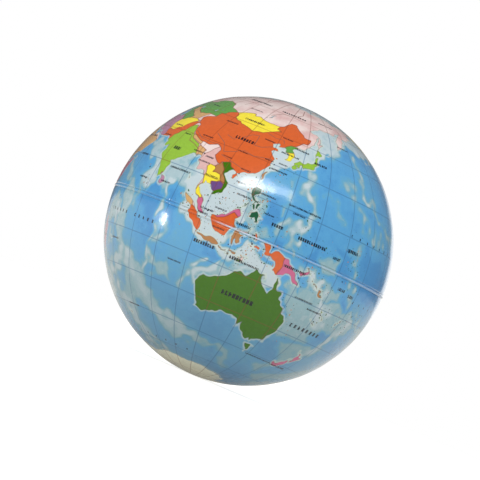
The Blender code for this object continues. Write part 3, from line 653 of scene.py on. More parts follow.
def shoal_field(places, longitude, latitude):
    """How pale the printed sea is, from 0 over the deeps to 1 over the shelves and ridges.

    Each ridge and patch leaves 1 minus its bell-shaped brightness of the depth above it, and the depths
    multiply. Each region does the same with a soft step at its edge. Ragged noise moves the places
    first, and roughens the ridges' brightness.
    """
    east = longitude + ripples(places, SEA_BED_NOISE, 21)
    north = latitude + ripples(places, SEA_BED_NOISE, 23)
    rough = 1 + ripples(places, RIDGE_NOISE, 25)
    depth = np.ones(len(longitude))
    for width, brightness, text in RIDGES:
        distance, _ = run_distance(east, north, outlines(text)[0], False, 3 * width)
        bell = np.exp(-((distance / (width * RIDGE_SPREAD)) ** 2))
        depth *= 1 - np.clip(brightness * bell * rough, 0, MOST_SHALLOWED)
    for brightness, softness, text in SHOALS:
        share = np.full(len(longitude), -FAR_MM)
        for outline in outlines(text):
            share = np.maximum(share, signed(east, north, outline, SHOAL_REACH))
        depth *= 1 - brightness * (0.5 + 0.5 * np.tanh(share / softness))
    for *patch, brightness in PATCHES:
        bell = patch_bell(east, north, *patch)
        depth *= 1 - np.clip(brightness * bell, -1, MOST_SHALLOWED)
    return np.clip(1 - depth * (OPEN_SEA_DEPTH + ripples(places, OPEN_SEA_NOISE, 26)), 0, 1)


def islet_field(longitude, latitude):
    """The share of ground, from 0 to 1, that the shader may sprinkle with islets."""
    share = np.zeros(len(longitude))
    for *area, most in ISLET_AREAS:
        share = np.maximum(share, most * patch_bell(longitude, latitude, *area))
    return share


def marks():
    """Every small print and river line as a row of seven numbers.

    They are longitude, latitude, half length, height, cosine and sine of its slope, and sign. Sizes are
    in mm. The sign is 1 for print and -1 for a river line. Letters set wide apart differ a little in
    length, so that the shader picks other strokes for each.
    """
    rows = []
    for east, north, length, height in LABELS:
        rows.append((east, north, length / 2, height * PRINT_HEIGHT, 1, 0, 1))
    for east, north, step, count, height in SPACED_LABELS:
        for k in range(count):
            half = height * (LONE_LETTER + LONE_LETTER_CHANGE * k)
            rows.append((east + step * k, north, half, height, 1, 0, 1))
    for run in outlines(RIVERS):
        for (x0, y0), (x1, y1) in zip(run[:-1], run[1:]):
            east, north = (x0 + x1) / 2, (y0 + y1) / 2
            along = np.array(((x1 - x0) * cos(radians(north)), y1 - y0)) * MM_PER_DEGREE
            length = np.linalg.norm(along)
            rows.append((east, north, length / 2, RIVER_HEIGHT, *along / length, -1))
    return np.array(rows)


def mark_fields(corners, faces):
    """For each face corner, its place in the frame of the mark nearest the face, in that mark's heights.

    The result's rows are the place along the mark, the place across it, and half its length with its
    sign.
    """
    rows = marks()
    east, north = map_place(corners[faces].mean(axis=1))
    best = np.full(len(faces), np.inf)
    chosen = np.zeros(len(faces), int)
    for index, (longitude, latitude, half, height, c, s, _) in enumerate(rows):
        x = wrapped(east - longitude) * np.cos(np.radians(north)) * MM_PER_DEGREE
        y = (north - latitude) * MM_PER_DEGREE
        gap = np.maximum(np.abs(x * c + y * s) - half, np.abs(y * c - x * s) - height / 2)
        closer = gap < best
        best[closer] = gap[closer]
        chosen[closer] = index
    own = rows[np.repeat(chosen, faces.shape[1])]
    east, north = map_place(corners[faces.reshape(-1)])
    x = wrapped(east - own[:, 0]) * np.cos(np.radians(north)) * MM_PER_DEGREE
    y = (north - own[:, 1]) * MM_PER_DEGREE
    c, s = own[:, 4], own[:, 5]
    along, across = x * c + y * s, y * c - x * s
    return np.stack((along, across, own[:, 2] * own[:, 6]), axis=1) / own[:, 3:4]


# -----------------------------------------------------------------------------------------------------
# Surfaces
# -----------------------------------------------------------------------------------------------------

# How far the film's rim stands off the seam's flank, in metres
RIM_CLEARANCE = 0.00002

# Noise as strengths and wavelengths in mm
FILM_NOISE = ((1, 11), (0.5, 4.5))
BEAD_NOISE = ((1, 7), (0.7, 2.4))
PORE_NOISE = ((1, 4), (1, 2.2))

# The film's waves are brought to unit size, and held between these. The highest meet the full radius
FILM_NOISE_SIZE = 1.8
LOWEST_WAVE = -2.0
HIGHEST_WAVE = 1.2

# A pore opens where its noise passes this
PORE_START = 0.6

# How far the seam's flanks and the core's surface lie within the sizes asked for, in mm
BEAD_DROP = 0.07
CORE_DROP = 0.03

# Points round the seam, and cells over its face
BEAD_AROUND = 1200
BEAD_OVER = 16

# The seam is lowest this far round before it faces -X, in radians, and keeps at least this share of
# its height
BEAD_FADE_TURN = 0.6
BEAD_LEAST_SHARE = 0.3

# How much the seam's width changes, its least share, and how far in mm its ridge strays from the equator
BEAD_WIDTH_CHANGE = 0.012
BEAD_LEAST_WIDTH = 0.9
BEAD_STRAY = 0.03


def disc_grid(cells):
    """A square grid laid on the unit disc: a square of half side r goes to the circle of radius r."""
    side = np.linspace(-1, 1, cells + 1)
    s, t = np.meshgrid(side, side)
    wide = np.abs(s) >= np.abs(t)
    reach = np.where(wide, s, t)
    safe = np.where(reach == 0, 1, reach)
    turn = np.where(wide, pi / 4 * t / safe, pi / 2 - pi / 4 * s / safe)
    return (reach * np.cos(turn)).ravel(), (reach * np.sin(turn)).ravel()


def dome(cells, rim_height):
    """Directions over a half ball from the pole to a rim at that height, as unit vectors of a disc grid.

    The angle from the pole is a cubic of the disc's radius, which packs the points closer near the rim.
    """
    x, y = disc_grid(cells)
    radius = np.hypot(x, y)
    angle = np.arccos(rim_height) * (1.1 * radius - 0.1 * radius**3)
    safe = np.where(radius == 0, 1, radius)
    return np.stack((x / safe * np.sin(angle), y / safe * np.sin(angle), np.cos(angle)), axis=1)


def grid_index(cells, first=0):
    """A square grid's table of point numbers, counted from the first."""
    return first + np.arange((cells + 1) ** 2).reshape(cells + 1, cells + 1)


def grid_faces(index):
    """The four-sided faces between neighbouring entries of a table of point numbers."""
    around = (index[:-1, :-1], index[:-1, 1:], index[1:, 1:], index[1:, :-1])
    return np.stack(around, axis=-1).reshape(-1, 4)


def edge_loop(index):
    """The point numbers round the outside of a table, anticlockwise."""
    return np.concatenate((index[0, :-1], index[:-1, -1], index[-1, :0:-1], index[:0:-1, 0]))


def make_piece(name, corners, faces, finish, extra=()):
    """One smooth mesh object at the origin from points in mm, quads, and any many-sided faces."""
    mesh = bpy.data.meshes.new(name)
    mesh.from_pydata((corners / MM).tolist(), [], [*faces.tolist(), *extra])
    mesh.polygons.foreach_set("use_smooth", np.ones(len(mesh.polygons), bool))
    mesh.materials.append(finish)
    made = bpy.data.objects.new(name, mesh)
    bpy.context.scene.collection.objects.link(made)
    return made


def store(mesh, name, values, domain="POINT"):
    """Keeps an array on the mesh as a named attribute, a vector one if it has three columns."""
    wide = values.ndim == 2
    kept = mesh.attributes.new(name, "FLOAT_VECTOR" if wide else "FLOAT", domain)
    kept.data.foreach_set("vector" if wide else "value", values.astype(np.float32).ravel())


def print_map(made, corners, faces):
    """Puts the printed map's fields on a piece: its rest place, coast, sea bed, colours and marks."""
    longitude, latitude = map_place(corners)
    east, north = strayed(corners, longitude, latitude)
    store(made.data, "rest", corners)
    store(made.data, "coast", coast_field(east, north))
    store(made.data, "shoal", shoal_field(corners, longitude, latitude))
    store(made.data, "islets", islet_field(longitude, latitude))
    colours = country_fields(longitude * 0.5 + east * 0.5, latitude * 0.5 + north * 0.5)
    for name, field in colours.items():
        store(made.data, name, field)
    marked = np.full((len(made.data.loops), 3), 99.0)
    marked[: faces.size] = mark_fields(corners, faces)
    store(made.data, "mark", marked, "CORNER")


def half_skin(name, upward, sizes, finish):
    """One printed film half-shell.

    The outside is a dome of the ball's radius, a little uneven. Beside the seam it rounds inwards, by the
    square of how far a point lies into the lip. The inside is a plainer dome, one film thickness in.
    Many-sided faces join the two round the rim. The south half is the north one mirrored.
    """
    fine, coarse = sizes.skin_cells, sizes.skin_cells // 5
    rim = BEAD_HALF_WIDTH + RIM_CLEARANCE
    inner_radius = BALL_RADIUS - SKIN_THICKNESS
    outside, inside = dome(fine, rim / BALL_RADIUS), dome(coarse, rim / inner_radius)
    lip = np.clip(1 - (outside[:, 2] * BALL_RADIUS - rim) / sizes.lip_width, 0, 1)
    places = outside * BALL_MM
    waves = ripples(places, FILM_NOISE, 31) / FILM_NOISE_SIZE
    waves = np.clip(waves, LOWEST_WAVE, HIGHEST_WAVE) - HIGHEST_WAVE
    radius = BALL_MM + sizes.unevenness * MM * waves - sizes.lip_depth * MM * lip**2
    corners = np.concatenate((outside * radius[:, None], inside * inner_radius * MM))
    outer_index, inner_index = grid_index(fine), grid_index(coarse, len(outside))
    outer, inner = edge_loop(outer_index), edge_loop(inner_index)
    corners[np.concatenate((outer, inner)), 2] = rim * MM
    faces = np.concatenate((grid_faces(outer_index), grid_faces(inner_index)[:, ::-1]))
    per = len(outer) // len(inner)
    steps = np.arange(len(inner))[:, None]
    outer_runs = outer[(steps * per + np.arange(per, -1, -1)) % len(outer)]
    inner_runs = inner[(steps + np.arange(2)) % len(inner)]
    rim_faces = np.concatenate((outer_runs, inner_runs), axis=1)
    if not upward:
        corners[:, 2] *= -1
        faces, rim_faces = faces[:, ::-1], rim_faces[:, ::-1]
    made = make_piece(name, corners, faces, finish, rim_faces.tolist())
    print_map(made, corners, faces)
    return made


def seam_ring(name, sizes, finish):
    """The raised seam bead: a flat-backed section carried round the equator.

    Its face rises from nearly flush flanks to a narrow ridge, as the fourth power of a cosine. The
    ridge's height, width and line wander with the turn, and it is lower on its west side. The back is a
    cylinder at the film's inner radius.
    """
    turn = np.arange(BEAD_AROUND) * 2 * pi / BEAD_AROUND
    circle = np.stack((np.cos(turn), np.sin(turn), 0 * turn), axis=1) * BALL_MM
    wander = ripples(circle, BEAD_NOISE, 41)
    arc = np.linspace(-pi / 2, pi / 2, BEAD_OVER + 1)
    base = BALL_MM - BEAD_DROP
    crown = BEAD_TOP_RADIUS * MM - base
    fade = sizes.bead_fade * np.clip(-np.cos(turn + BEAD_FADE_TURN), 0, 1)
    share = 1 - sizes.bead_wander * (1 + wander / 2) - fade
    rise = crown * np.clip(share, BEAD_LEAST_SHARE, 1)
    narrowed = np.clip(1 - BEAD_WIDTH_CHANGE * (1 + ripple(circle, 5, 43)), BEAD_LEAST_WIDTH, 1)
    width = BEAD_HALF_WIDTH * MM * narrowed
    out = base + rise[:, None] * np.cos(arc) ** 4
    stray = BEAD_STRAY * ripple(circle, 12, 44)
    height = width[:, None] * np.sin(arc) + stray[:, None] * np.cos(arc)
    back = (BALL_RADIUS - SKIN_THICKNESS) * MM
    out = np.concatenate((out, np.full((BEAD_AROUND, 2), back)), axis=1)
    height = np.concatenate((height, height[:, [BEAD_OVER]], height[:, [0]]), axis=1)
    x, y = out * np.cos(turn)[:, None], out * np.sin(turn)[:, None]
    corners = np.stack((x, y, height), axis=2).reshape(-1, 3)
    index = np.arange(len(corners)).reshape(BEAD_AROUND, -1)
    index = np.concatenate((index, index[:1]))
    index = np.concatenate((index, index[:, :1]), axis=1)
    faces = grid_faces(index)[:, ::-1]
    made = make_piece(name, corners, faces, finish)
    print_map(made, corners, faces)
    return made


def foam_ball(name, sizes, finish):
    """The foam core: a whole ball from two domes that share one rim, with shallow pores in its surface.

    The radius is the core's own, less a little where two runs of noise peak together.
    """
    cells = sizes.core_cells
    north = dome(cells, 0)
    inner = np.zeros((cells + 1, cells + 1), bool)
    inner[1:-1, 1:-1] = True
    ways = np.concatenate((north, (north * (1, 1, -1))[inner.ravel()]))
    places = ways * BALL_MM
    pits = np.clip(ripples(places, PORE_NOISE, 51) - PORE_START, 0, 2)
    radius = CORE_RADIUS * MM - CORE_DROP - sizes.pore_depth * MM * pits
    corners = ways * radius[:, None]
    upper = grid_index(cells)
    lower = upper.copy()
    lower[1:-1, 1:-1] = grid_index(cells - 2, len(north))
    faces = np.concatenate((grid_faces(upper), grid_faces(lower)[:, ::-1]))
    made = make_piece(name, corners, faces, finish)
    store(made.data, "rest", corners)
    return made


# -----------------------------------------------------------------------------------------------------
# Finishes
# -----------------------------------------------------------------------------------------------------

# Soft edges of printed lines, as distances in mm: no ink beyond the first, full ink within the second
NET_LINE = (0.16, 0.07)
BORDER_LINE = (0.16, 0.06)
SHORE_LINE = (0.10, 0.02)
CROWN_LINE = (0.26, 0.08)

# Half widths in mm over which the coast and the print colours' edges blend, and where the coast's halo
# begins and is full
COAST_EDGE = 0.035
COLOUR_EDGE = 0.03
COAST_HALO = (-0.62, -0.12)

# How much of what it is printed over each ink hides
HALO_SHARE = 0.62
NET_SHARE_AT_SEA = 0.55
NET_SHARE_ON_LAND = 0.45
BORDER_SHARE = 0.66
SHORE_SHARE = 0.55
RIVER_SHARE = 0.9
PRINT_SHARE = 0.98

# Degrees between the net's lines
NET_STEP = 15

# Brightness at which each sea tint is pure, and how many soft steps the brightness is printed in
SEA_STOPS = (0.06, 0.26, 0.46, 0.64, 0.90)
DEPTH_STEPS = 9.0

# Heights in mm over which the sea greys as painted shade on the ball's lower side, and how far it greys
SOUTHERN_SHADE = (-4.9, -21.5)
SOUTHERN_SHADE_SHARE = 0.38

# Small print, in heights of its line: letter pitch, how far above and below the middle a bar may lie,
# where a foot lies, and the soft top and bottom edges of print and of river lines
LETTER_PITCH = 0.74
BAR_LEVEL = 0.36
FOOT_LEVEL = -0.38
PRINT_EDGE = (0.54, 0.44)
RIVER_EDGE = (0.55, 0.3)

# Soft ends of print and of river lines, as distances past the end in heights of the line
PRINT_END = (0.08, -0.08)
RIVER_END = (0.4, 0.0)

# Soft edges of strokes and bars, from their middles
STROKE = (0.23, 0.14)
BAR = (0.25, 0.15)

# A letter's cell runs from 0 to 1: where its bars start and end, and where its two upright strokes stand
BARS_FROM = (0.05, 0.12)
BARS_TO = (0.80, 0.72)
FIRST_STROKE = 0.22
SECOND_STROKE = 0.62

# Chances that a letter has no second stroke, and no foot
NO_SECOND_STROKE = 0.42
NO_FOOT = 0.5

# Picks which strokes each letter has
PRINT_SEED = 3.1

# Islets in two sizes: cells per mm, least radius and its spread in cells, and the share of cells kept
ISLET_SIZES = ((1.5, 0.14, 0.18, 1.0), (2.7, 0.15, 0.17, 0.7))

# The islets' half soft edge in cells, and the hues, from 0 to 1, past which they turn brown and dark
ISLET_EDGE = 0.06
BROWN_PAST = 0.35
DARK_PAST = 0.65

# Abraded print and a painted highlight on the seam: X in mm over which the paling sets in from the west, X
# over which the painted glint grows towards the middle, and how much more it grows there
WEAR_AND_GLINT_START = (-11.0, -6.0)
GLINT_MIDDLE = (5.0, 0.0)
GLINT_GROWTH = 0.9

LACQUER_IOR = 1.5

# How deep the lacquer's ripple and the foam's cells are, in metres
RELIEF = 0.0002


class Wiring:
    """Short ways to add and join shader nodes in one node tree."""

    def __init__(self, tree):
        self.tree = tree
        self.shader = tree.nodes.get("Principled BSDF")

    def node(self, kind, feeds=(), **settings):
        """A new node, with its settings set and its inputs linked or given a value."""
        made = self.tree.nodes.new(kind)
        for key, value in settings.items():
            setattr(made, key, value)
        for key, value in dict(feeds).items():
            self.feed(made.inputs[key], value)
        return made

    def feed(self, socket, value):
        """Links a socket to an input, or sets the input's value."""
        if isinstance(value, bpy.types.NodeSocket):
            self.tree.links.new(value, socket)
        elif socket.type == "RGBA":
            socket.default_value = (*value, 1)
        else:
            socket.default_value = value

    def math(self, operation, first, second=0.0, third=0.0):
        """One arithmetic step on numbers."""
        feeds = {0: first, 1: second, 2: third}
        return self.node("ShaderNodeMath", feeds, operation=operation).outputs[0]

    def times(self, first, second):
        """Two numbers multiplied."""
        return self.math("MULTIPLY", first, second)

    def mix(self, share, first, second):
        """Two colours mixed."""
        feeds = {0: share, 6: first, 7: second}
        return self.node("ShaderNodeMix", feeds, data_type="RGBA").outputs[2]

    def scaled(self, colour, share):
        """A colour or vector times a number."""
        feeds = {0: colour, "Scale": share}
        return self.node("ShaderNodeVectorMath", feeds, operation="SCALE").outputs[0]

    def step(self, value, low, high):
        """0 below low, 1 above high, smooth between; the other way round if high is the lower."""
        feeds = {0: value, 1: low, 2: high, 3: 0.0, 4: 1.0}
        return self.node("ShaderNodeMapRange", feeds, interpolation_type="SMOOTHSTEP").outputs[0]

    def line(self, distance, edges):
        """The ink of a line printed where the distance is zero."""
        return self.step(self.math("ABSOLUTE", distance), *edges)

    def field(self, name, output="Fac"):
        """One of the piece's own attributes."""
        return self.node("ShaderNodeAttribute", attribute_name=name).outputs[output]

    def noise(self, place, scale, detail=2.0, output="Fac"):
        """Cloudy noise, about 0.5 on average."""
        feeds = {"Vector": place, "Scale": scale, "Detail": detail}
        return self.node("ShaderNodeTexNoise", feeds).outputs[output]

    def parts(self, vector):
        """The three numbers of a vector."""
        return self.node("ShaderNodeSeparateXYZ", {0: vector}).outputs


def new_finish(name):
    """A new material, and the wiring of its nodes."""
    material = bpy.data.materials.new(name)
    material.use_nodes = True
    return material, Wiring(material.node_tree)


def sea_colour(w, inks, rest):
    """The printed sea: depth tints in soft steps with relief mottling, and greyer towards the south as
    painted shade.
    """
    rough = w.math("MULTIPLY_ADD", w.noise(rest, 0.55, 4.0), 0.30, -0.15)
    fine = w.math("MULTIPLY_ADD", w.noise(rest, 1.9, 3.0), 0.14, -0.07)
    level = w.math("ADD", w.math("ADD", w.field("shoal"), rough), fine)
    stepped = w.math("DIVIDE", w.math("ROUND", w.times(level, DEPTH_STEPS)), DEPTH_STEPS)
    level = w.math("ADD", w.times(level, 0.6), w.times(stepped, 0.4))
    ramp = w.node("ShaderNodeValToRGB", {0: level})
    tints = (inks.sea_deep, inks.sea_open, inks.sea_slope, inks.sea_ridge, inks.sea_shelf)
    for place in SEA_STOPS[2:]:
        ramp.color_ramp.elements.new(place)
    for element, place, tint in zip(ramp.color_ramp.elements, SEA_STOPS, tints):
        element.position = place
        element.color = (*tint, 1)
    # Painted shade: the sea greys towards the south, the ball's lower side
    south = w.step(w.parts(rest)[2], *SOUTHERN_SHADE)
    return w.mix(w.times(south, SOUTHERN_SHADE_SHARE), ramp.outputs[0], inks.sea_south_shade)


def graticule(w, rest):
    """How much ink the net of meridians and parallels leaves.

    Latitude and longitude are counted in steps of the net, so a line lies where either is a whole number.
    The half of a step added puts each line in mid step, and the 24 steps keep the count above zero.
    """
    x, y, z = w.parts(rest)
    radius = w.node("ShaderNodeVectorMath", {0: rest}, operation="LENGTH").outputs["Value"]
    steps_per_radian = 180 / pi / NET_STEP
    latitude = w.times(w.math("ARCSINE", w.math("DIVIDE", z, radius)), steps_per_radian)
    away = w.times(w.math("ARCTAN2", x, w.times(y, -1.0)), steps_per_radian)
    longitude = w.math("ADD", away, FRONT_MERIDIAN / NET_STEP)
    shrink = w.math("COSINE", w.math("DIVIDE", latitude, steps_per_radian))
    gaps = []
    for turns, width in ((latitude, 1.0), (longitude, shrink)):
        part = w.math("SUBTRACT", w.math("FRACT", w.math("ADD", turns, 24.5)), 0.5)
        gap = w.times(w.math("ABSOLUTE", part), NET_STEP * MM_PER_DEGREE)
        gaps.append(w.times(gap, width))
    return w.step(w.math("MINIMUM", *gaps), *NET_LINE)


def print_ink(w):
    """The small print's and the rivers' share of ink, as two sockets.

    Print is rows of little upright and level strokes in letter-sized cells, so it reads as print and says
    nothing. Which strokes a cell has comes from white noise on its number and on the mark's own length.
    """
    along, across, half = w.parts(w.field("mark", "Vector"))
    past_end = w.math("SUBTRACT", w.math("ABSOLUTE", along), w.math("ABSOLUTE", half))
    side = w.math("ABSOLUTE", across)
    cell = w.math("MULTIPLY_ADD", along, 1 / LETTER_PITCH, 0.5)
    place = w.math("FRACT", cell)
    key = w.node("ShaderNodeCombineXYZ", {0: w.math("FLOOR", cell), 1: half, 2: PRINT_SEED}).outputs[0]
    picked = w.node("ShaderNodeTexWhiteNoise", {0: key}, noise_dimensions="3D").outputs["Color"]
    first, second, third = w.parts(picked)
    in_letter = w.times(w.step(place, *BARS_FROM), w.step(place, *BARS_TO))
    stem = w.line(w.math("SUBTRACT", place, FIRST_STROKE), STROKE)
    other = w.line(w.math("SUBTRACT", place, SECOND_STROKE), STROKE)
    other = w.times(other, w.math("GREATER_THAN", first, NO_SECOND_STROKE))
    level = w.math("MULTIPLY_ADD", w.math("ROUND", w.times(second, 2.0)), BAR_LEVEL, -BAR_LEVEL)
    bar = w.times(w.line(w.math("SUBTRACT", across, level), BAR), in_letter)
    foot = w.times(w.line(w.math("SUBTRACT", across, FOOT_LEVEL), STROKE), in_letter)
    foot = w.times(foot, w.math("GREATER_THAN", third, NO_FOOT))
    letter = w.math("MAXIMUM", w.math("MAXIMUM", stem, other), w.math("MAXIMUM", bar, foot))
    inked = w.times(w.times(letter, w.step(past_end, *PRINT_END)), w.step(side, *PRINT_EDGE))
    inked = w.times(inked, w.math("GREATER_THAN", half, 0.0))
    river = w.times(w.step(side, *RIVER_EDGE), w.step(past_end, *RIVER_END))
    return inked, w.times(river, w.math("LESS_THAN", half, 0.0))


def islets(w, inks, rest, under):
    """The sea's colour with islets printed over it, thickest where the field says.

    They are dots of land colours scattered in two sizes, each kept or left out by its cell's own chance.
    """
    ragged = w.scaled(w.noise(rest, 2.2, 2.0, "Color"), 0.5)
    place = w.node("ShaderNodeVectorMath", {0: rest, 1: ragged}, operation="ADD").outputs[0]
    for cells_per_mm, smallest, spread, share in ISLET_SIZES:
        feeds = {"Vector": place, "Scale": cells_per_mm}
        spots = w.node("ShaderNodeTexVoronoi", feeds, feature="F1")
        chance, hue, size = w.parts(spots.outputs["Color"])
        shown = w.math("LESS_THAN", chance, w.times(w.field("islets"), share))
        reach = w.math("MULTIPLY_ADD", size, spread, smallest)
        dot = w.step(w.math("SUBTRACT", spots.outputs["Distance"], reach), ISLET_EDGE, -ISLET_EDGE)
        colour = w.mix(w.math("GREATER_THAN", hue, BROWN_PAST), inks.islet, inks.brown)
        colour = w.mix(w.math("GREATER_THAN", hue, DARK_PAST), colour, inks.lettering)
        under = w.mix(w.times(dot, shown), under, colour)
    return under


def land_colour(w, inks, rest, net, river):
    """The printed land: flat country colours with faint relief, and borders, net and rivers over them."""
    land = w.mix(w.step(w.noise(rest, 0.22, 4.0), 0.35, 0.75), inks.pale_pink, inks.rose)
    border = 0.0
    for name in (*(name for name, _ in COUNTRIES), "ice"):
        land = w.mix(w.step(w.field(name), -COLOUR_EDGE, COLOUR_EDGE), land, getattr(inks, name))
    for name, _ in COUNTRIES:
        border = w.math("MAXIMUM", border, w.line(w.field(name), BORDER_LINE))
    hills = w.math("MULTIPLY_ADD", w.noise(rest, 1.3, 4.0), 0.5, 0.75)
    land = w.mix(0.5, land, w.scaled(land, hills))
    land = w.mix(w.times(border, BORDER_SHARE), land, inks.border)
    land = w.mix(w.times(net, NET_SHARE_ON_LAND), land, inks.border)
    return w.mix(w.times(river, RIVER_SHARE), land, inks.river)


def crown_wear_and_glint(w, rest, wear_and_glint):
    """How far the print is paled, patchily along the seam's crown except on its west side: abraded print
    together with a painted highlight, strongest near the middle.
    """
    x, _, height = w.parts(rest)
    crown = w.times(w.line(height, CROWN_LINE), w.step(x, *WEAR_AND_GLINT_START))
    # A painted highlight: the paling grows stronger towards the middle of the crown
    crown = w.times(crown, w.math("MULTIPLY_ADD", w.step(x, *GLINT_MIDDLE), GLINT_GROWTH, 1.0))
    patchy = w.step(w.noise(rest, 0.5, 3.0), 0.2, 0.6)
    return w.times(w.times(patchy, crown), wear_and_glint)


def map_finish(name, inks, look, wear_and_glint):
    """Printed film under a clear glossy lacquer. Given a seam paling, the print is paled as abraded print and
    painted highlight, and no net is printed.
    """
    material, w = new_finish(name)
    rest, coast = w.field("rest", "Vector"), w.field("coast")
    net = 0.0 if wear_and_glint else graticule(w, rest)
    inked, river = print_ink(w)
    halo = w.times(w.step(coast, *COAST_HALO), HALO_SHARE)
    sea = w.mix(halo, sea_colour(w, inks, rest), inks.halo)
    sea = w.mix(w.times(net, NET_SHARE_AT_SEA), sea, inks.net)
    sea = islets(w, inks, rest, sea)
    land = land_colour(w, inks, rest, net, river)
    colour = w.mix(w.step(coast, -COAST_EDGE, COAST_EDGE), sea, land)
    shore = w.line(w.math("ADD", coast, 0.02), SHORE_LINE)
    colour = w.mix(w.times(shore, SHORE_SHARE), colour, inks.shore)
    colour = w.mix(w.times(inked, PRINT_SHARE), colour, inks.lettering)
    grain = w.math("MULTIPLY_ADD", w.noise(rest, 3.4, 2.0), 0.10, 0.95)
    colour = w.scaled(colour, grain)
    if wear_and_glint:
        # Pales the seam's crown: abraded print and a painted highlight together
        colour = w.mix(crown_wear_and_glint(w, rest, wear_and_glint), colour, inks.worn_and_glint)
    w.feed(w.shader.inputs["Base Color"], colour)
    smudge = w.noise(rest, 0.12, 4.0)
    w.feed(w.shader.inputs["Roughness"], w.math("MULTIPLY_ADD", smudge, 0.10, look.print_roughness))
    for socket, value in (
        ("IOR", LACQUER_IOR),
        ("Specular IOR Level", 0.12),
        ("Coat Weight", 1.0),
        ("Coat IOR", LACQUER_IOR),
        ("Coat Roughness", look.lacquer_roughness),
    ):
        w.shader.inputs[socket].default_value = value
    feeds = {"Height": w.noise(rest, 0.55, 2.0), "Strength": look.orange_peel, "Distance": RELIEF}
    peel = w.node("ShaderNodeBump", feeds).outputs[0]
    w.feed(w.shader.inputs["Normal"], peel)
    w.feed(w.shader.inputs["Coat Normal"], peel)
    return material


def foam_finish(name, inks):
    """Pale polyurethane foam: small open cells, with painted shade darkening their hollows."""
    material, w = new_finish(name)
    rest = w.field("rest", "Vector")
    feeds = {"Vector": rest, "Scale": 1.5}
    cells = w.node("ShaderNodeTexVoronoi", feeds, feature="DISTANCE_TO_EDGE").outputs[0]
    # Painted shade: each cell is darker towards its middle, away from its walls
    hollow_shade = w.step(cells, 0.02, 0.22)
    colour = w.mix(w.times(hollow_shade, 0.7), inks.foam, inks.foam_hollow_shade)
    colour = w.mix(w.times(w.noise(rest, 0.2, 3.0), 0.3), colour, inks.foam)
    w.feed(w.shader.inputs["Base Color"], colour)
    w.shader.inputs["Roughness"].default_value = 0.92
    feeds = {"Height": w.math("SUBTRACT", 1.0, hollow_shade), "Strength": 0.7, "Distance": RELIEF}
    w.feed(w.shader.inputs["Normal"], w.node("ShaderNodeBump", feeds).outputs[0])
    return material


# -----------------------------------------------------------------------------------------------------
# Settings
# -----------------------------------------------------------------------------------------------------


def count_setting(name, description, default):
    """A whole-number property."""
    return IntProperty(name=name, description=description, default=default, min=10)


def length_setting(name, description, default):
    """A length property, in metres."""
    return FloatProperty(
        name=name, description=description, default=default, min=0, precision=5, unit="LENGTH"
    )


def share_setting(name, description, default):
    """A property from 0 to 1."""
    return FloatProperty(
        name=name, description=description, default=default, min=0, max=1, precision=3, subtype="FACTOR"
    )


def ink_setting(name, description, colour):
    """A colour property from a hexadecimal colour."""
    return FloatVectorProperty(
        name=name, description=description, subtype="COLOR", size=3, min=0, max=1, default=linear(colour)
    )


class StressBallSizes(bpy.types.PropertyGroup):
    """Sizes of the fine shapes, and how finely they are meshed."""

    skin_cells: count_setting("Skin cells", "Cells across a half-shell's grid", 300)
    core_cells: count_setting("Core cells", "Cells across a core dome's grid", 80)
    lip_width: length_setting("Lip width", "Width of the film's rounded rim beside the seam", 0.00075)
    lip_depth: length_setting("Lip depth", "How far the film's rim rounds inwards", 0.00003)
    unevenness: length_setting("Unevenness", "Height of the film's gentle waves", 0.00003)
    bead_wander: share_setting("Bead wander", "How much the seam's height varies", 0.10)
    bead_fade: share_setting("Bead fade", "How much lower the seam is on its west side", 0.55)
    pore_depth: length_setting("Pore depth", "Depth of the core's pores", 0.00012)


class StressBallInks(bpy.types.PropertyGroup):
    """Print and foam colours."""

    sea_deep: ink_setting("Sea, deep", "Deepest sea tint", "4C92CC")
    sea_open: ink_setting("Sea, open", "Usual sea tint", "5AA4D6")
    sea_slope: ink_setting("Sea, slope", "Sea tint over slopes", "64A6C8")
    sea_ridge: ink_setting("Sea, ridge", "Sea tint over ridges", "8FB4BE")
    sea_shelf: ink_setting("Sea, shelf", "Palest sea tint, over shelves", "BFCFD6")
    # Painted shade: the grey that the sea turns towards on the ball's lower, southern side
    sea_south_shade: ink_setting("Sea, southern grey", "Tint that the southern seas turn towards", "6E94A0")
    halo: ink_setting("Coast halo", "Pale band along coasts", "CBD8CC")
    net: ink_setting("Net", "Meridians and parallels over the sea", "3A6690")
    border: ink_setting("Borders", "Country borders and the net over land", "7C3A26")
    shore: ink_setting("Shore line", "Line along the coast", "5C5A58")
    river: ink_setting("Rivers", "River lines", "8E5A4A")
    lettering: ink_setting("Small print", "Marks that stand for names", "0C1220")
    pale_pink: ink_setting("Pale pink", "Land with no other colour", "E8D6D2")
    tan: ink_setting("Tan", "Print colour", "D2A56E")
    green: ink_setting("Green", "Print colour", "5E9E48")
    yellow: ink_setting("Yellow", "Print colour", "F0DE3C")
    orange: ink_setting("Orange", "Print colour", "D4602A")
    lime: ink_setting("Lime", "Print colour", "91BC3C")
    mauve: ink_setting("Mauve", "Print colour", "B583A0")
    magenta: ink_setting("Magenta", "Print colour", "C8648C")
    purple: ink_setting("Purple", "Print colour", "6B4A86")
    brown: ink_setting("Brown", "Print colour", "B07A48")
    deep_green: ink_setting("Deep green", "Print colour", "3C7000")
    forest: ink_setting("Forest", "Print colour", "1F5A3C")
    rose: ink_setting("Rose", "Print colour", "D8B0AE")
    ice: ink_setting("Ice", "Southern ice", "F4F3DC")
    # Pale tint of the seam's crown, for abraded print and a painted highlight together
    worn_and_glint: ink_setting("Worn print", "Paled print on the seam's crown", "BCCBE2")
    islet: ink_setting("Islets", "Green islets", "2F5E30")
    foam: ink_setting("Foam", "Foam colour", "E6DCC0")
    # Painted shade inside the foam's cells
    foam_hollow_shade: ink_setting("Foam hollows", "Foam colour inside its cells", "A4946E")


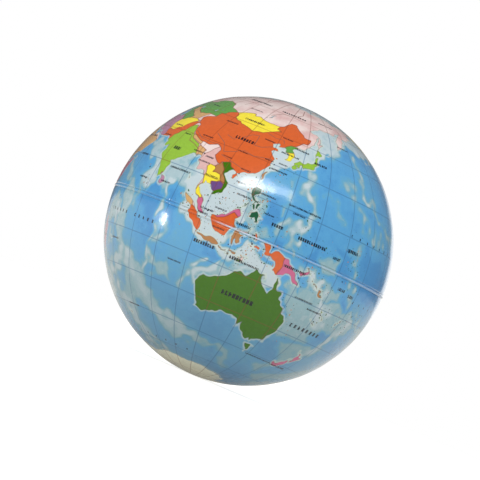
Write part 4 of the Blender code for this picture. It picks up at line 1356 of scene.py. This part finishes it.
class StressBallLook(bpy.types.PropertyGroup):
    """Gloss of the lacquer, and wear."""

    print_roughness: share_setting("Print roughness", "Roughness of the film", 0.22)
    lacquer_roughness: share_setting("Lacquer roughness", "Roughness of the clear coat", 0.115)
    orange_peel: share_setting("Orange peel", "Strength of the lacquer's ripple", 0.10)
    # How far the seam's crown is paled, as abraded print and a painted highlight together
    seam_wear_and_glint: share_setting("Seam wear", "How far the print is paled on the seam", 0.5)


# -----------------------------------------------------------------------------------------------------
# Stage
# -----------------------------------------------------------------------------------------------------

# Where the camera sits: its height below the ball's centre as an angle, its roll, its distance in metres,
# the share of the frame that the ball fills, and how far off centre the ball is, in frame widths
CAMERA_ELEVATION = radians(-2.1)
CAMERA_ROLL = radians(23)
CAMERA_DISTANCE = 0.70
BALL_SHARE_OF_FRAME = 0.60417
BALL_OFF_CENTRE = Vector((0.0179, -0.0023))
SENSOR_WIDTH = 36

# Each lamp's name, where its reflection shows in ball radii right and up from the ball's middle, its
# distance, width and height in metres, its radiance, and its tilt in degrees
LAMPS = (
    ("key_softbox", (0.12, 0.375), 0.60, 0.46, 0.10, 6.5, -10),
    ("key_core", (0.07, 0.378), 0.58, 0.26, 0.06, 8.0, -10),
    ("side_lamp", (-0.58, 0.156), 0.14, 0.017, 0.009, 40, 0),
    ("side_glow", (-0.58, 0.156), 0.139, 0.040, 0.026, 1.6, 0),
    ("side_strip", (-0.635, 0.04), 0.14, 0.008, 0.045, 2.5, -30),
)

FLOOR_RADIUS = 6
FLOOR_SIDES = 96
FLOOR_COLOUR = (0.62, 0.60, 0.55, 1)
FLOOR_GLOW = 0.16
FLOOR_GLOW_SEEN = 0.60


def camera_axes():
    """The camera's right, up and back directions."""
    back = Vector((0, -cos(CAMERA_ELEVATION), sin(CAMERA_ELEVATION)))
    level = Vector((1, 0, 0))
    upright = back.cross(level)
    right = level * cos(CAMERA_ROLL) + upright * sin(CAMERA_ROLL)
    up = upright * cos(CAMERA_ROLL) - level * sin(CAMERA_ROLL)
    return right, up, back


def make_camera():
    """The scene's camera, framing the ball."""
    right, up, back = camera_axes()
    made = bpy.data.objects.new("camera", bpy.data.cameras.new("camera"))
    bpy.context.scene.collection.objects.link(made)
    half_angle = np.arcsin(BALL_RADIUS / CAMERA_DISTANCE)
    made.data.sensor_width = SENSOR_WIDTH
    made.data.lens = SENSOR_WIDTH * BALL_SHARE_OF_FRAME / (2 * np.tan(half_angle))
    frame_width = SENSOR_WIDTH / made.data.lens * CAMERA_DISTANCE
    shift = (right * BALL_OFF_CENTRE.x + up * BALL_OFF_CENTRE.y) * frame_width
    place = back * CAMERA_DISTANCE - shift
    made.matrix_world = Matrix.Translation(place) @ Matrix((right, up, back)).transposed().to_4x4()
    made.data.clip_start = 0.01
    bpy.context.scene.camera = made


def make_lamp(name, spot, distance, width, height, radiance, tilt):
    """A rectangular lamp whose reflection shows at a chosen spot of the ball.

    The lamp lies along the camera's ray turned back at that spot, and its power gives it the radiance.
    """
    right, up, back = camera_axes()
    x, y = spot
    outward = right * x + up * y + back * (1 - x * x - y * y) ** 0.5
    towards = outward * (2 * outward.dot(back)) - back
    data = bpy.data.lights.new(name, "AREA")
    data.shape = "RECTANGLE"
    data.size = width
    data.size_y = height
    data.energy = radiance * pi * width * height
    made = bpy.data.objects.new(name, data)
    bpy.context.scene.collection.objects.link(made)
    across = (right - towards * right.dot(towards)).normalized()
    upward = towards.cross(across)
    c, s = cos(radians(tilt)), sin(radians(tilt))
    turn = Matrix((across * c + upward * s, upward * c - across * s, towards)).transposed().to_4x4()
    made.matrix_world = Matrix.Translation(outward * BALL_RADIUS + towards * distance) @ turn


def make_world():
    """A white surround to the camera, even soft light to the ball, and a dim room in its reflections.

    The reflected room is dark on the camera's side, a little lighter behind the ball, and white in one
    patch low on the right behind it.
    """
    world = bpy.data.worlds.new("studio")
    bpy.context.scene.world = world
    world.use_nodes = True
    w = Wiring(world.node_tree)
    right, up, back = camera_axes()
    way = w.node("ShaderNodeTexCoord").outputs["Generated"]

    def facing(direction, low, high):
        """0 to 1 as a ray turns towards a direction."""
        feeds = {0: way, 1: direction.normalized()}
        aligned = w.node("ShaderNodeVectorMath", feeds, operation="DOT_PRODUCT").outputs["Value"]
        return w.step(aligned, low, high)

    soft = w.math("MULTIPLY_ADD", facing(up + right * 0.3, -1.0, 1.0), 0.26, 0.58)
    behind = w.math("MULTIPLY_ADD", facing(-back, -0.3, 0.9), 0.06, 0.10)
    patch = facing(right * 0.25 - up * 0.08 - back * 0.97, 0.972, 0.999)
    room = w.math("ADD", behind, patch)
    seen = w.node("ShaderNodeLightPath").outputs
    strength = w.node("ShaderNodeMix", {0: seen["Is Glossy Ray"], 2: soft, 3: room}).outputs[0]
    strength = w.node("ShaderNodeMix", {0: seen["Is Camera Ray"], 2: strength, 3: 1.0}).outputs[0]
    background = w.tree.nodes["Background"]
    w.feed(background.inputs["Strength"], strength)
    background.inputs["Color"].default_value = (1, 1, 1, 1)


def make_floor():
    """A plain pale disc under the ball, lit a little from within so that it meets the surround."""
    turn = np.linspace(0, 2 * pi, FLOOR_SIDES, endpoint=False)
    height = np.full(FLOOR_SIDES, CAD_BOX[0].z)
    rim = np.stack((FLOOR_RADIUS * np.cos(turn), FLOOR_RADIUS * np.sin(turn), height), axis=1)
    mesh = bpy.data.meshes.new("floor")
    mesh.from_pydata(rim.tolist(), [], [list(range(FLOOR_SIDES))])
    material, w = new_finish("floor")
    for socket, value in (
        ("Base Color", FLOOR_COLOUR),
        ("Roughness", 1.0),
        ("Specular IOR Level", 0.0),
        ("Emission Color", (1, 1, 1, 1)),
    ):
        w.shader.inputs[socket].default_value = value
    seen = w.node("ShaderNodeLightPath").outputs["Is Camera Ray"]
    glow = w.math("MULTIPLY_ADD", seen, FLOOR_GLOW_SEEN, FLOOR_GLOW)
    w.feed(w.shader.inputs["Emission Strength"], glow)
    mesh.materials.append(material)
    floor = bpy.data.objects.new("floor", mesh)
    bpy.context.scene.collection.objects.link(floor)


# -----------------------------------------------------------------------------------------------------
# Add-on
# -----------------------------------------------------------------------------------------------------


class STRESSBALL_OT_core(bpy.types.Operator):
    """Makes the foam core"""

    bl_idname = "stress_ball.core"
    bl_label = "Foam core"

    def execute(self, context):
        scene = context.scene
        finish = foam_finish("raw_foam", scene.stress_ball_inks)
        made = foam_ball("foam_heart", scene.stress_ball_sizes, finish)
        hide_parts("foam_core")
        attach(made, "core")
        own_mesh(made)
        return {"FINISHED"}


class STRESSBALL_OT_seam(bpy.types.Operator):
    """Makes the raised seam bead"""

    bl_idname = "stress_ball.seam"
    bl_label = "Seam bead"

    def execute(self, context):
        scene = context.scene
        look = scene.stress_ball_look
        finish = map_finish("seam_bead", scene.stress_ball_inks, look, look.seam_wear_and_glint)
        made = seam_ring("seam_ring", scene.stress_ball_sizes, finish)
        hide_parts("equator_seam")
        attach(made, "core")
        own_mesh(made)
        return {"FINISHED"}


class STRESSBALL_OT_skins(bpy.types.Operator):
    """Makes the two printed film half-shells"""

    bl_idname = "stress_ball.skins"
    bl_label = "Printed skins"

    def execute(self, context):
        scene = context.scene
        for name, slot, node, body, joint, upward in (
            ("print_skin_north", "printed_film_north", "north_skin", "north_half", "squeeze", True),
            ("print_skin_south", "printed_film_south", "south_skin", "south_half", "squeeze_south", False),
        ):
            finish = map_finish(slot, scene.stress_ball_inks, scene.stress_ball_look, 0)
            made = half_skin(name, upward, scene.stress_ball_sizes, finish)
            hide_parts(node)
            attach(made, body)
            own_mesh(made)
        return {"FINISHED"}


class STRESSBALL_OT_stage(bpy.types.Operator):
    """Makes the floor, the lamps, the world and the camera"""

    bl_idname = "stress_ball.stage"
    bl_label = "Stage"

    def execute(self, context):
        make_floor()
        for lamp in LAMPS:
            make_lamp(*lamp)
        make_world()
        make_camera()
        context.scene.view_settings.view_transform = "Standard"
        return {"FINISHED"}


OPERATORS = (STRESSBALL_OT_core, STRESSBALL_OT_seam, STRESSBALL_OT_skins, STRESSBALL_OT_stage)
GROUPS = (
    (StressBallSizes, "stress_ball_sizes"),
    (StressBallInks, "stress_ball_inks"),
    (StressBallLook, "stress_ball_look"),
)


class STRESSBALL_PT_panel(bpy.types.Panel):
    """The stress ball's settings and buttons"""

    bl_idname = "STRESSBALL_PT_panel"
    bl_label = "Stress ball"
    bl_space_type = "VIEW_3D"
    bl_region_type = "UI"
    bl_category = "Stress ball"

    def draw(self, context):
        column = self.layout.column()
        for group, name in GROUPS:
            for key in group.__annotations__:
                column.prop(getattr(context.scene, name), key)
        for operator in OPERATORS:
            column.operator(operator.bl_idname)


def register():
    """Registers the settings, the operators and the panel."""
    for group, name in GROUPS:
        bpy.utils.register_class(group)
        setattr(bpy.types.Scene, name, PointerProperty(type=group))
    for each in (*OPERATORS, STRESSBALL_PT_panel):
        bpy.utils.register_class(each)


def unregister():
    """Removes what register added."""
    for each in (STRESSBALL_PT_panel, *reversed(OPERATORS)):
        bpy.utils.unregister_class(each)
    for group, name in reversed(GROUPS):
        delattr(bpy.types.Scene, name)
        bpy.utils.unregister_class(group)


def main():
    """Registers the add-on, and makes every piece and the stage."""
    register()
    bpy.ops.stress_ball.core()
    bpy.ops.stress_ball.seam()
    bpy.ops.stress_ball.skins()
    bpy.ops.stress_ball.stage()


if __name__ == "__main__":
    main()
